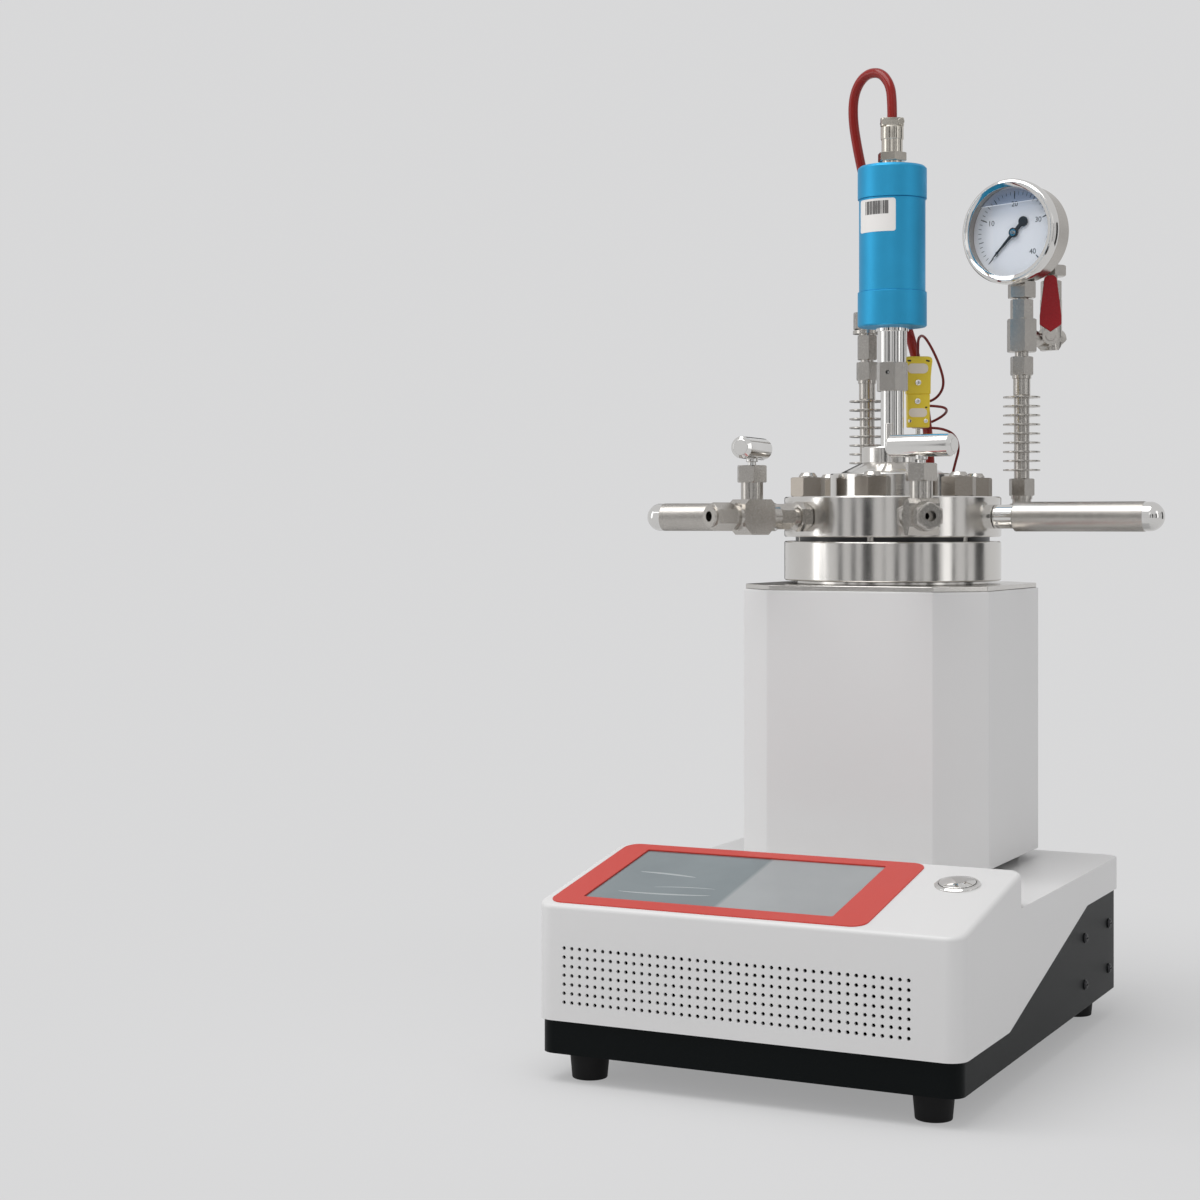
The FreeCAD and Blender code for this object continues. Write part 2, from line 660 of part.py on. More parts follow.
pieces["rear_panel"] = rear_panel()
pieces["mains_inlet"] = mains_inlet()
pieces["cable_glands"] = Part.makeCompound([rearward(gland(CABLE_R), MOTOR_GLAND_X, GLAND_Z),
                                            rearward(gland(PROBE_LEAD_R), PROBE_GLAND_X, GLAND_Z)])

# Heater tower: dark plinth, white octagonal shell, insulation, heating block and top plate
shell_outline = octagon(TOWER_HALF, TOWER_CHAMFER)
inner_outline = octagon(TOWER_HALF - SHELL_WALL, TOWER_CHAMFER - SHELL_WALL * (2 - math.sqrt(2)))
plinth_outline = octagon(TOWER_HALF - PLINTH_INSET, TOWER_CHAMFER - PLINTH_INSET * (2 - math.sqrt(2)))
plate_outline = octagon(TOWER_HALF - TOP_PLATE_INSET, TOWER_CHAMFER - TOP_PLATE_INSET * (2 - math.sqrt(2)))
block_bore_r = VESSEL_R + 0.3
block_r = block_bore_r + BLOCK_WALL
block_bottom_z = vessel_bottom_z - BLOCK_FLOOR
insulation_r = TOWER_HALF - SHELL_WALL - INSULATION_CLEARANCE

shell_floor_z = TOWER_BOTTOM_Z + SHELL_WALL
plinth_inner = octagon(TOWER_HALF - PLINTH_INSET - PLINTH_WALL,
                       TOWER_CHAMFER - (PLINTH_INSET + PLINTH_WALL) * (2 - math.sqrt(2)))
pieces["heater_plinth"] = prism(plinth_outline, DECK_Z, TOWER_BOTTOM_Z).cut(
    prism(plinth_inner, DECK_Z - 1, TOWER_BOTTOM_Z + 1))
pieces["heater_shell"] = prism(shell_outline, TOWER_BOTTOM_Z, TOWER_TOP_Z).cut(
    prism(inner_outline, shell_floor_z, TOWER_TOP_Z + 1))
pieces["heating_block"] = turned([(0, block_bottom_z), (block_r, block_bottom_z), (block_r, TOWER_TOP_Z - 6),
                                  (block_bore_r, TOWER_TOP_Z - 6), (block_bore_r, vessel_bottom_z),
                                  (0, vessel_bottom_z)])
sleeve_bore_r = block_r + INSULATION_CLEARANCE
pieces["insulation_sleeve"] = turned([
    (0, shell_floor_z), (insulation_r, shell_floor_z), (insulation_r, TOWER_TOP_Z),
                                      (sleeve_bore_r, TOWER_TOP_Z), (sleeve_bore_r, block_bottom_z),
                                      (0, block_bottom_z)])
pieces["heater_top_plate"] = prism(plate_outline, TOWER_TOP_Z, plate_top_z).cut(
    cylinder(VESSEL_R + 1.0, TOWER_TOP_Z - 1, plate_top_z + 1))

# Pressure vessel: one forging with a flange, a deep bore and a rounded floor
def vessel():
    corner = 9.0
    profile_outer = turned([(0, vessel_bottom_z), (VESSEL_R - 6, vessel_bottom_z),
                            (VESSEL_R, vessel_bottom_z + 6),
                            (VESSEL_R, plate_top_z), (SHOULDER_R, plate_top_z), (SHOULDER_R, flange_bottom_z),
                            (FLANGE_R - FLANGE_EDGE, flange_bottom_z),
                            (FLANGE_R, flange_bottom_z + FLANGE_EDGE),
                            (FLANGE_R, flange_top_z - FLANGE_EDGE), (FLANGE_R - FLANGE_EDGE, flange_top_z),
                            (0, flange_top_z)])
    chamber = cylinder(VESSEL_BORE_R, bore_bottom_z, flange_top_z + 1)
    floor_edge = [edge for edge in chamber.Edges if abs(edge.BoundBox.ZMax - bore_bottom_z) < 0.01
                  and edge.BoundBox.ZLength < 0.01 and edge.BoundBox.XLength > 1]
    chamber = chamber.makeFillet(corner, floor_edge)
    return profile_outer.cut(chamber)


def on_stud_circle(make):
    """Six copies of a shape on the stud circle, each turned so that it faces outwards."""
    return [turn(moved(make, STUD_CIRCLE_R, 0), STUD_TURN + 60 * k) for k in range(6)]


stud_depth = 20.0
stud = turned([(0, flange_top_z - stud_depth), (STUD_R, flange_top_z - stud_depth),
               (STUD_R, lid_top_z + NUT_H + 0.8),
               (STUD_R - 1.6, lid_top_z + NUT_H + STUD_TIP), (0, lid_top_z + NUT_H + STUD_TIP)])
stud_hole = cylinder(STUD_R, flange_top_z - stud_depth, flange_top_z + 1)
lid_hole = cylinder(STUD_R + STUD_CLEARANCE, flange_top_z - 1, lid_top_z + 1)
nut_bore = cylinder(STUD_R, lid_top_z - 1, lid_top_z + NUT_H + 1)
nut = hexagon(NUT_AF, lid_top_z, lid_top_z + NUT_H, 1.3).cut(nut_bore)

pieces["vessel"] = drilled(vessel(), *on_stud_circle(stud_hole))
pieces["lid_gasket"] = drilled(turned([(VESSEL_BORE_R, flange_top_z), (GASKET_R, flange_top_z),
                                       (GASKET_R, lid_bottom_z), (VESSEL_BORE_R, lid_bottom_z)]),
                               *on_stud_circle(lid_hole))
pieces["lid_studs"] = Part.makeCompound(on_stud_circle(stud))
pieces["lid_nuts"] = Part.makeCompound(on_stud_circle(nut))


def lid():
    bearing_r = SHAFT_R + SHAFT_CLEARANCE
    body = turned([(bearing_r, lid_bottom_z), (FLANGE_R - FLANGE_EDGE, lid_bottom_z),
                   (FLANGE_R, lid_bottom_z + FLANGE_EDGE), (FLANGE_R, lid_top_z - FLANGE_EDGE),
                   (FLANGE_R - FLANGE_EDGE, lid_top_z), (BOSS_R, lid_top_z),
                   (BOSS_R, boss_top_z - FLANGE_EDGE),
                   (BOSS_R - FLANGE_EDGE, boss_top_z), (CONE_TOP_R + 14, boss_top_z),
                   (CONE_TOP_R, cone_top_z),
                   (bearing_r, cone_top_z)])
    body = drilled(body, *on_stud_circle(lid_hole))
    for angle in lid_angles:
        is_handle = angle in (right_handle_angle, left_handle_angle)
        depth = HANDLE_SPIGOT if is_handle else PORT_SPIGOT
        radius = HANDLE_NECK_R - 1.5 if is_handle else PORT_SPIGOT_R
        body = body.cut(on_port(cylinder(radius, FLANGE_R - depth, FLANGE_R + 5), angle))
        if not is_handle:
            passage = on_port(cylinder(FLOW_R, VESSEL_BORE_R - 8, FLANGE_R), angle)
            down = turn(cylinder(FLOW_R, lid_bottom_z - 1, port_z, VESSEL_BORE_R - 8, 0), angle)
            body = drilled(body, passage, down)
    body = body.cut(cylinder(PROBE_R, lid_bottom_z - 1, cone_top_z + 1, PROBE_X, PROBE_Y))
    return body.cut(cylinder(PROBE_FITTING_R, boss_top_z + 1, cone_top_z + 1, PROBE_X, PROBE_Y))


pieces["lid"] = lid()

# Handles: a polished neck, a knurled grip and a domed end, each turned from one bar
def handle():
    end_r = (HANDLE_GRIP_R ** 2 + (handle_end - handle_grip_end) ** 2) / (2 * (handle_end - handle_grip_end))
    bar = turned([(0, FLANGE_R - HANDLE_SPIGOT), (HANDLE_NECK_R - 1.5, FLANGE_R - HANDLE_SPIGOT),
                  (HANDLE_NECK_R - 1.5, adapter_start), (HANDLE_NECK_R, adapter_start),
                  (HANDLE_NECK_R, handle_neck_end), (HANDLE_GRIP_R - HANDLE_BEVEL, handle_neck_end),
                  (HANDLE_GRIP_R, handle_neck_end + HANDLE_BEVEL), (HANDLE_GRIP_R, handle_end),
                  (0, handle_end)])
    ball = Part.makeSphere(end_r, V(0, 0, handle_end - end_r))
    keep = ball.fuse(cylinder(HANDLE_GRIP_R + 1, FLANGE_R - HANDLE_SPIGOT - 1, handle_grip_end))
    return bar.common(keep)


pieces["right_handle"] = on_port(handle(), right_handle_angle)
pieces["left_handle"] = on_port(handle(), left_handle_angle)

# Stirring drive: a base on the lid's cone, a tube, a clamp collar, a sleeve and the motor
motor_low_cap_top_z = MOTOR_BOTTOM_Z + MOTOR_CAP_H
motor_high_cap_bottom_z = MOTOR_TOP_Z - (MOTOR_CAP_H - 1.1)
shaft_top_z = TUBE_TOP_Z + 10.0
bearing_r = SHAFT_R + SHAFT_CLEARANCE
stub = turn(cylinder(STUB_R, hub_top_z, hub_top_z + STUB_H, HUB_R - 7.5, 0), -80.0)
pieces["drive_base"] = joined(
    turned([(bearing_r, cone_top_z), (HUB_R, cone_top_z), (HUB_R, hub_top_z - 0.8), (HUB_R - 0.8, hub_top_z),
            (bearing_r, hub_top_z)]), stub)
pieces["drive_tube"] = turned([(bearing_r + 1, hub_top_z), (TUBE_R, hub_top_z), (TUBE_R, TUBE_TOP_Z),
                               (bearing_r, TUBE_TOP_Z), (bearing_r, TUBE_TOP_Z - 15),
                               (bearing_r + 1, TUBE_TOP_Z - 16)])
collar = hexagon(COLLAR_AF, COLLAR_BOTTOM_Z, COLLAR_TOP_Z, 1.0)
collar = collar.cut(cylinder(TUBE_R, COLLAR_BOTTOM_Z - 1, TUBE_TOP_Z))
collar = collar.cut(cylinder(SLEEVE_R - 1.5, TUBE_TOP_Z, COLLAR_TOP_Z + 1))
for k in (0, 2, 4):
    screw_hole = Part.makeCylinder(1.3, 4.0, V(COLLAR_AF / 2 - 2.6, 0, COLLAR_TOP_Z - 6.5), V(1, 0, 0))
    collar = collar.cut(turn(screw_hole, 30 + 60 * k))
pieces["clamp_collar"] = collar
pieces["drive_sleeve"] = turned([(SHAFT_R + 1.5, TUBE_TOP_Z), (SLEEVE_R - 1.5, TUBE_TOP_Z),
                                 (SLEEVE_R - 1.5, COLLAR_TOP_Z), (SLEEVE_R, COLLAR_TOP_Z),
                                 (SLEEVE_R, MOTOR_BOTTOM_Z - 3), (SLEEVE_R + 1.2, MOTOR_BOTTOM_Z - 3),
                                 (SLEEVE_R + 1.2, MOTOR_BOTTOM_Z), (SHAFT_R + 1.5, MOTOR_BOTTOM_Z)])


def motor_cap(low, high, bottom_bevel, top_bevel):
    return turned([(0, low), (MOTOR_CAP_R - bottom_bevel, low), (MOTOR_CAP_R, low + bottom_bevel),
                   (MOTOR_CAP_R, high - top_bevel), (MOTOR_CAP_R - top_bevel, high), (0, high)])


pieces["motor_housing"] = cylinder(MOTOR_R, motor_low_cap_top_z, motor_high_cap_bottom_z)
pieces["motor_caps"] = Part.makeCompound([
    motor_cap(MOTOR_BOTTOM_Z, motor_low_cap_top_z, 0.8, 0.3),
    motor_cap(motor_high_cap_bottom_z, MOTOR_TOP_Z, 0.3, 1.6)])
socket_z = MOTOR_TOP_Z + 3.6
socket_top_z = socket_z + 14.1
plug_top_z = socket_top_z + 14.1
pieces["motor_socket"] = joined(
    cylinder(6.5, MOTOR_TOP_Z, socket_z),
    hexagon(SOCKET_AF, socket_z, socket_z + 5.4, 0.6),
    cylinder(6.9, socket_z + 5.4, socket_top_z))


def cable_plug():
    """The plug's sleeve, and above it a clamp drawn on to the cable by two screws."""
    sleeve_top = plug_top_z - 5.3
    sleeve = turned([(0, socket_top_z), (7.3, socket_top_z), (7.5, socket_top_z + 0.5),
                     (7.5, sleeve_top - 0.8), (6.8, sleeve_top), (0, sleeve_top)])
    clamp = rounded_block(-7.6, 7.6, -4.6, 4.6, sleeve_top, plug_top_z, 3.5)
    heads = [Part.makeCylinder(2.1, 10.4, V(x, -5.2, sleeve_top + 2.6), V(0, 1, 0)) for x in (-5.3, 5.3)]
    return turn(joined(sleeve, clamp, *heads), 26.6)


pieces["cable_plug"] = cable_plug()
impeller_low = bore_bottom_z + IMPELLER_FLOOR_GAP
pieces["stirrer_shaft"] = turned([(0, impeller_low - 3), (SHAFT_R - 1, impeller_low - 3),
                                  (SHAFT_R, impeller_low - 2), (SHAFT_R, shaft_top_z), (0, shaft_top_z)])


def stirrer_impeller():
    """A hub with four blades pitched at 45 degrees."""
    hub = cylinder(SHAFT_R + 4.0, impeller_low, impeller_low + IMPELLER_BLADE_H)
    middle = impeller_low + IMPELLER_BLADE_H / 2
    blades = []
    for k in range(4):
        blade = box(SHAFT_R + 2, IMPELLER_R, -IMPELLER_BLADE_H * 0.6, IMPELLER_BLADE_H * 0.6, -0.8, 0.8)
        blade.rotate(V(0, 0, 0), V(1, 0, 0), 45)
        blades.append(turn(moved(blade, 0, 0, middle), 90 * k))
    return joined(hub, *blades).cut(cylinder(SHAFT_R, impeller_low - 5, impeller_low + 30))


pieces["stirrer_impeller"] = stirrer_impeller()

# Lid ports: a hexagonal adapter is screwed into the rim for each of the four fittings
fitting_angles = [gauge_angle, relief_angle, left_valve_angle, front_valve_angle]


def port_adapter():
    hex_part = hexagon(ADAPTER_AF, adapter_start, adapter_end, 0.9)
    spigot = cylinder(PORT_SPIGOT_R, FLANGE_R - PORT_SPIGOT, adapter_start)
    neck = cylinder(ADAPTER_NECK_R, adapter_end, inlet_nut_start)
    return joined(hex_part, spigot, neck).cut(cylinder(FLOW_R, 0, inlet_nut_start + 1))


pieces["port_adapters"] = Part.makeCompound([on_port(port_adapter(), angle) for angle in fitting_angles])

# Needle valves: a forged cross-shaped body, a bonnet with its gland hexagon, a T-handle and nuts
bonnet_z = port_z + VALVE_BLOCK_HIGH
bonnet_hex_z = bonnet_z + BONNET_H
bonnet_top_z = bonnet_hex_z + BONNET_HEX_H
tbar_z = bonnet_top_z + STEM_GAP + TBAR_R
stem_bottom_z = bonnet_z - STEM_DEPTH + 4


def valve_body():
    """The horizontal arm, and round the stem a block with its lower corners cut off."""
    arm = on_port(cylinder(VALVE_ARM_R, inlet_nut_end, valve_arm_end), 0)
    cut = VALVE_BLOCK_HALF * 0.45
    outline = [(-VALVE_BLOCK_HALF, VALVE_BLOCK_HIGH - 3), (-VALVE_BLOCK_HALF + 3, VALVE_BLOCK_HIGH),
               (VALVE_BLOCK_HALF - 3, VALVE_BLOCK_HIGH), (VALVE_BLOCK_HALF, VALVE_BLOCK_HIGH - 3),
               (VALVE_BLOCK_HALF, -VALVE_BLOCK_LOW + cut), (VALVE_BLOCK_HALF - cut, -VALVE_BLOCK_LOW),
               (-VALVE_BLOCK_HALF + cut, -VALVE_BLOCK_LOW), (-VALVE_BLOCK_HALF, -VALVE_BLOCK_LOW + cut)]
    depth = VALVE_BLOCK_HALF * 0.8
    corners = [V(stack_r + x, -depth, port_z + z) for x, z in outline]
    block = Part.Face(Part.makePolygon(corners + corners[:1])).extrude(V(0, 2 * depth, 0))
    collar_start = stack_r + VALVE_BLOCK_HALF
    collar = on_port(cylinder(VALVE_ARM_R + 1.6, collar_start, collar_start + 2.4), 0)
    stem_hole = cylinder(STEM_R + STEM_CLEARANCE, stem_bottom_z - 0.5, bonnet_z + 1, stack_r, 0)
    passage = on_port(cylinder(FLOW_R, inlet_nut_end - 1, valve_arm_end + 1), 0)
    return joined(arm, block, collar).cut(stem_hole).cut(passage)


def valve_bonnet():
    """The bonnet's round body and its hexagonal gland nut, bored for the stem."""
    round_part = cylinder(BONNET_R, bonnet_z, bonnet_hex_z)
    hex_part = hexagon(BONNET_AF, bonnet_hex_z, bonnet_top_z, 1.1)
    bore = cylinder(STEM_R + STEM_CLEARANCE, bonnet_z - 1, bonnet_top_z + 1)
    return moved(joined(round_part, hex_part).cut(bore), stack_r, 0)


def t_handle(station_angle, bar_angle):
    """A stem with a thick round cross bar, whose ends are bevelled."""
    stem = cylinder(STEM_R, stem_bottom_z, tbar_z)
    collar = cylinder(STEM_R + 1.2, tbar_z - TBAR_R - 1.6, tbar_z)
    half = TBAR_LENGTH / 2
    bar = turned([(0, -half), (TBAR_R - 2.2, -half), (TBAR_R, -half + 2.4), (TBAR_R, half - 2.4),
                  (TBAR_R - 2.2, half), (0, half)])
    bar.rotate(V(0, 0, 0), V(0, 1, 0), 90)
    bar = turn(moved(bar, 0, 0, tbar_z), bar_angle - station_angle)
    return on_station(joined(stem, collar, bar), station_angle)


def valve_nut(across_flats, start, end, face_r=0.0, face_h=0.0):
    """A compression nut along the port, with a round face on its outer end if it has one."""
    nut_shape = hexagon(across_flats, start, end, 1.2)
    if face_h > 0:
        nut_shape = joined(nut_shape, cylinder(face_r, end, end + face_h))
    return nut_shape


inlet_nut = valve_nut(INLET_NUT_AF, inlet_nut_start, inlet_nut_end).cut(
    cylinder(FLOW_R, inlet_nut_start - 1, inlet_nut_end + 1))
outlet_nut = valve_nut(OUTLET_NUT_AF, valve_arm_end, outlet_nut_end, OUTLET_FACE_R, OUTLET_FACE_H)
outlet_nut = outlet_nut.cut(cylinder(OUTLET_BORE_R, valve_arm_end - 1, outlet_nut_end + OUTLET_FACE_H + 1))
valve_angles = [left_valve_angle, front_valve_angle]
pieces["valve_bodies"] = Part.makeCompound([turn(valve_body(), angle) for angle in valve_angles])
pieces["valve_bonnets"] = Part.makeCompound([turn(valve_bonnet(), angle) for angle in valve_angles])
pieces["left_valve_handle"] = t_handle(left_valve_angle, LEFT_TBAR_ANGLE)
pieces["front_valve_handle"] = t_handle(front_valve_angle, FRONT_TBAR_ANGLE)
pieces["valve_nuts"] = Part.makeCompound([on_port(nut_shape, angle) for angle in valve_angles
                                          for nut_shape in (inlet_nut, outlet_nut)])

# Cooling stacks: an elbow, two nuts and a finned tube on each of the two rear ports
elbow_top_z = STACK_NUT_Z[0]


def port_elbow():
    """A round elbow with a square-cut outer corner, from the port up to the stack."""
    arm = on_port(cylinder(ELBOW_R, inlet_nut_start, stack_r), 0)
    block = cylinder(ELBOW_R, port_z - ELBOW_R, elbow_top_z - 3, stack_r, 0)
    corner = Part.makeSphere(ELBOW_R, V(stack_r, 0, port_z))
    neck = cylinder(ELBOW_R - 1.6, elbow_top_z - 3, elbow_top_z, stack_r, 0)
    block = block.common(corner.fuse(cylinder(ELBOW_R, port_z, elbow_top_z, stack_r, 0)))
    bore = on_port(cylinder(FLOW_R, 0, stack_r), 0)
    rise = cylinder(FLOW_R, port_z, elbow_top_z + 1, stack_r, 0)
    return joined(arm, block, neck).cut(bore).cut(rise)


def finned_tube():
    """A tube with thin round fins, a plain body above them and a spigot at each end."""
    tube_top = UPPER_NUT_Z[0]
    profile = [(FLOW_R, STACK_NUT_Z[1]), (FIN_CORE_R, STACK_NUT_Z[1])]
    for k in range(FIN_COUNT):
        low = FIN_START_Z + k * FIN_PITCH
        high = low + FIN_THICKNESS
        profile += [(FIN_CORE_R, low), (FIN_R, low), (FIN_R, high), (FIN_CORE_R, high)]
    fins_top = FIN_START_Z + (FIN_COUNT - 1) * FIN_PITCH + FIN_THICKNESS
    profile += [(FIN_CORE_R, fins_top + 0.6), (FIN_TUBE_BODY_R, fins_top + 1.0), (FIN_TUBE_BODY_R, tube_top),
                (FLOW_R, tube_top)]
    return turned(profile)


def stack_nut(across_flats, low, high):
    """A nut with a round collar below its hexagon."""
    collar_h = 2.2
    shape = joined(hexagon(across_flats, low + collar_h, high, 1.0),
                   cylinder(across_flats / 2 - 0.6, low, low + collar_h))
    return shape.cut(cylinder(FLOW_R, low - 1, high + 1))


stack_angles = [gauge_angle, relief_angle]
pieces["port_elbows"] = Part.makeCompound([turn(port_elbow(), angle) for angle in stack_angles])
pieces["stack_nuts"] = Part.makeCompound(
    [on_station(stack_nut(STACK_NUT_AF, *STACK_NUT_Z), angle) for angle in stack_angles]
    + [on_station(stack_nut(UPPER_NUT_AF, *UPPER_NUT_Z), angle) for angle in stack_angles])
pieces["gauge_finned_tube"] = on_station(finned_tube(), gauge_angle)
pieces["relief_finned_tube"] = on_station(finned_tube(), relief_angle)

# Tee under the gauge, with a side arm for the vent
tee_joint_z = UPPER_NUT_Z[1]


def tee_fitting():
    body = joined(hexagon(TEE_AF, *TEE_Z, 1.2),
                  hexagon(TEE_TOP_AF, TEE_Z[1], TEE_TOP_Z, 0.6),
                  cylinder(4.6, tee_joint_z, TEE_Z[0]),
                  cylinder(4.6, TEE_TOP_Z, GAUGE_STEM_Z[0]))
    side_port = Part.makeCylinder(VENT_R - 1.2, TEE_PORT_REACH, V(0, 0, VENT_Z), V(1, 0, 0))
    body = joined(body, side_port)
    body = body.cut(cylinder(FLOW_R, tee_joint_z - 1, GAUGE_STEM_Z[0] + 1))
    return body.cut(Part.makeCylinder(FLOW_R, VENT_OFFSET, V(0, 0, VENT_Z), V(1, 0, 0)))


pieces["tee_fitting"] = on_station(tee_fitting(), gauge_angle)

# Gauge: a glycerine-filled case with a crimped ring, standing on its own stem
gauge_x = stack_r * math.cos(math.radians(gauge_angle))
gauge_y = stack_r * math.sin(math.radians(gauge_angle))


def gauge_case():
    wall = 1.2
    inside_r = GAUGE_CASE_R - wall
    cup = turned([(0, GAUGE_BACK), (GAUGE_CASE_R - 3, GAUGE_BACK), (GAUGE_CASE_R, GAUGE_BACK + 3),
                  (GAUGE_CASE_R, GAUGE_WINDOW_AT - 0.5), (inside_r, GAUGE_WINDOW_AT - 0.5),
                  (inside_r, GAUGE_BACK + 2.5), (POINTER_PIN_R, GAUGE_BACK + 2.5),
                  (POINTER_PIN_R, GAUGE_DIAL_AT + 5.0), (0, GAUGE_DIAL_AT + 5.0)])
    relief_plug = cylinder(5.5, GAUGE_BACK - 1.5, GAUGE_BACK + 1, 0, 17)
    return cup.fuse(relief_plug)


def gauge_pointer():
    """A thin pointer with a round tail, on a hub that turns on the movement's pin."""
    low = GAUGE_DIAL_AT + 1.6
    hub = cylinder(3.2, low, low + 1.8)
    needle = prism([(0, -1.1), (POINTER_LENGTH - 5, -0.5), (POINTER_LENGTH, 0),
                    (POINTER_LENGTH - 5, 0.5), (0, 1.1)],
                   low, low + 0.8)
    tail = prism([(0, -1.1), (0, 1.1), (-POINTER_TAIL, 1.5), (-POINTER_TAIL, -1.5)], low, low + 0.8)
    disc = cylinder(3.4, low, low + 0.8, -POINTER_TAIL, 0)
    pin_hole = cylinder(POINTER_PIN_R + POINTER_CLEARANCE, low - 1, low + 5)
    pointer = joined(hub, needle, tail, disc).cut(pin_hole)
    return turn(pointer, POINTER_REST)


def placed_on_gauge(shape):
    copy = shape.copy()
    right_angle = GAUGE_FACING + 90
    copy.rotate(V(0, 0, 0), V(1, 0, 0), 90)
    copy.rotate(V(0, 0, 0), V(0, 0, 1), right_angle)
    copy.translate(V(gauge_x, gauge_y, GAUGE_Z))
    return copy


stem_top_z = GAUGE_Z - GAUGE_CASE_R + 0.8
gauge_stem = joined(hexagon(GAUGE_STEM_AF, *GAUGE_STEM_Z, 0.9),
                    cylinder(5.0, GAUGE_STEM_Z[1], stem_top_z + 4)).cut(
                        cylinder(FLOW_R, GAUGE_STEM_Z[0] - 1, GAUGE_STEM_Z[1] - 1))
gauge_stem = on_station(gauge_stem, gauge_angle)
gauge_hollow = placed_on_gauge(cylinder(GAUGE_CASE_R - 1.2, GAUGE_BACK + 2.5, GAUGE_FRONT))
case_shape = placed_on_gauge(gauge_case())
pieces["gauge_case"] = case_shape.fuse(gauge_stem.cut(gauge_hollow)).removeSplitter()
ring_inner_r = GAUGE_DIAL_R + 0.1
pieces["gauge_ring"] = placed_on_gauge(turned([
    (GAUGE_CASE_R, GAUGE_RING_START), (GAUGE_RING_R - 0.8, GAUGE_RING_START),
    (GAUGE_RING_R, GAUGE_RING_START + 1.0),
    (GAUGE_RING_R, GAUGE_FRONT - 2.4), (GAUGE_RING_R - 1.0, GAUGE_FRONT - 0.6),
    (GAUGE_RING_R - 2.6, GAUGE_FRONT),
    (ring_inner_r + 1.2, GAUGE_FRONT - 1.0), (ring_inner_r, GAUGE_WINDOW_AT + 2.1),
    (GAUGE_CASE_R, GAUGE_WINDOW_AT + 2.1)]))
window = cylinder(GAUGE_CASE_R - 0.1, GAUGE_WINDOW_AT - 0.5, GAUGE_WINDOW_AT + 2.0)
pieces["gauge_window"] = placed_on_gauge(window)
pieces["gauge_dial"] = placed_on_gauge(turned([
    (POINTER_PIN_R + 0.8, GAUGE_DIAL_AT), (GAUGE_CASE_R - 1.3, GAUGE_DIAL_AT),
    (GAUGE_CASE_R - 1.3, GAUGE_DIAL_AT + 0.8), (POINTER_PIN_R + 0.8, GAUGE_DIAL_AT + 0.8)]))
pieces["gauge_pointer"] = placed_on_gauge(gauge_pointer())

# Vent: a mini ball valve that rises from the tee's side arm, with a red-sleeved lever
vent_x = gauge_x + VENT_OFFSET * math.cos(math.radians(gauge_angle))
vent_y = gauge_y + VENT_OFFSET * math.sin(math.radians(gauge_angle))


def at_lever(shape):
    """Turn a shape made upright with its front at -Y to face as the lever does, at the vent."""
    return moved(turn(shape, LEVER_FACING + 90), vent_x, vent_y)


def vent_valve_body():
    """An elbow with a cut outer corner that runs up into the valve's round body."""
    low = VENT_Z - VENT_R
    outline = [(-VENT_R, low), (0, low), (VENT_R, VENT_Z), (VENT_R, VENT_NUT_Z[0]), (-VENT_R, VENT_NUT_Z[0])]
    corners = [V(x, -VENT_R, z) for x, z in outline]
    block = Part.Face(Part.makePolygon(corners + corners[:1])).extrude(V(0, 2 * VENT_R, 0))
    round_body = cylinder(VENT_R, low, VENT_NUT_Z[0])
    ball = Part.makeCylinder(VENT_R, 2 * VENT_R, V(-VENT_R, 0, VENT_Z), V(1, 0, 0))
    arm = Part.makeCylinder(VENT_ARM_R, VENT_OFFSET - TEE_PORT_REACH, V(0, 0, VENT_Z), V(-1, 0, 0))
    body = turn(joined(block.common(round_body.fuse(ball)), arm), gauge_angle)
    boss_end = LEVER_AT - SLEEVE_WALL - LEVER_CLEARANCE
    stem_boss = Part.makeCylinder(LEVER_BOSS_R, boss_end, V(0, 0, LEVER_Z), V(0, -1, 0))
    body = moved(body, vent_x, vent_y).fuse(at_lever(stem_boss)).removeSplitter()
    well_start = LEVER_AT - LEVER_STEM_DEPTH - 0.2
    stem_well = Part.makeCylinder(LEVER_STEM_R + STEM_CLEARANCE, LEVER_AT,
                                  V(0, -well_start, LEVER_Z), V(0, -1, 0))
    riser = cylinder(FLOW_R, VENT_Z, VENT_NUT_Z[0] + 1)
    inlet = Part.makeCylinder(FLOW_R, VENT_OFFSET, V(0, 0, VENT_Z), V(-1, 0, 0))
    passage = moved(turn(joined(riser, inlet), gauge_angle), vent_x, vent_y)
    return body.cut(at_lever(stem_well)).cut(passage)


def vent_lever():
    """A flat steel lever held on the valve's stem by a nut."""
    front = -LEVER_AT - LEVER_THICKNESS
    strap = box(-LEVER_STRAP_HALF, LEVER_STRAP_HALF, front, -LEVER_AT, LEVER_Z, LEVER_Z + LEVER_TOP)
    end = Part.makeCylinder(LEVER_END_R, LEVER_THICKNESS, V(0, -LEVER_AT, LEVER_Z), V(0, -1, 0))
    stem = Part.makeCylinder(LEVER_STEM_R, LEVER_STEM_DEPTH, V(0, -LEVER_AT, LEVER_Z), V(0, 1, 0))
    nut_shape = hexagon(LEVER_NUT_AF, 0, LEVER_NUT_H)
    nut_shape.rotate(V(0, 0, 0), V(1, 0, 0), 90)
    nut_shape.translate(V(0, front, LEVER_Z))
    return at_lever(joined(strap, end, stem, nut_shape))


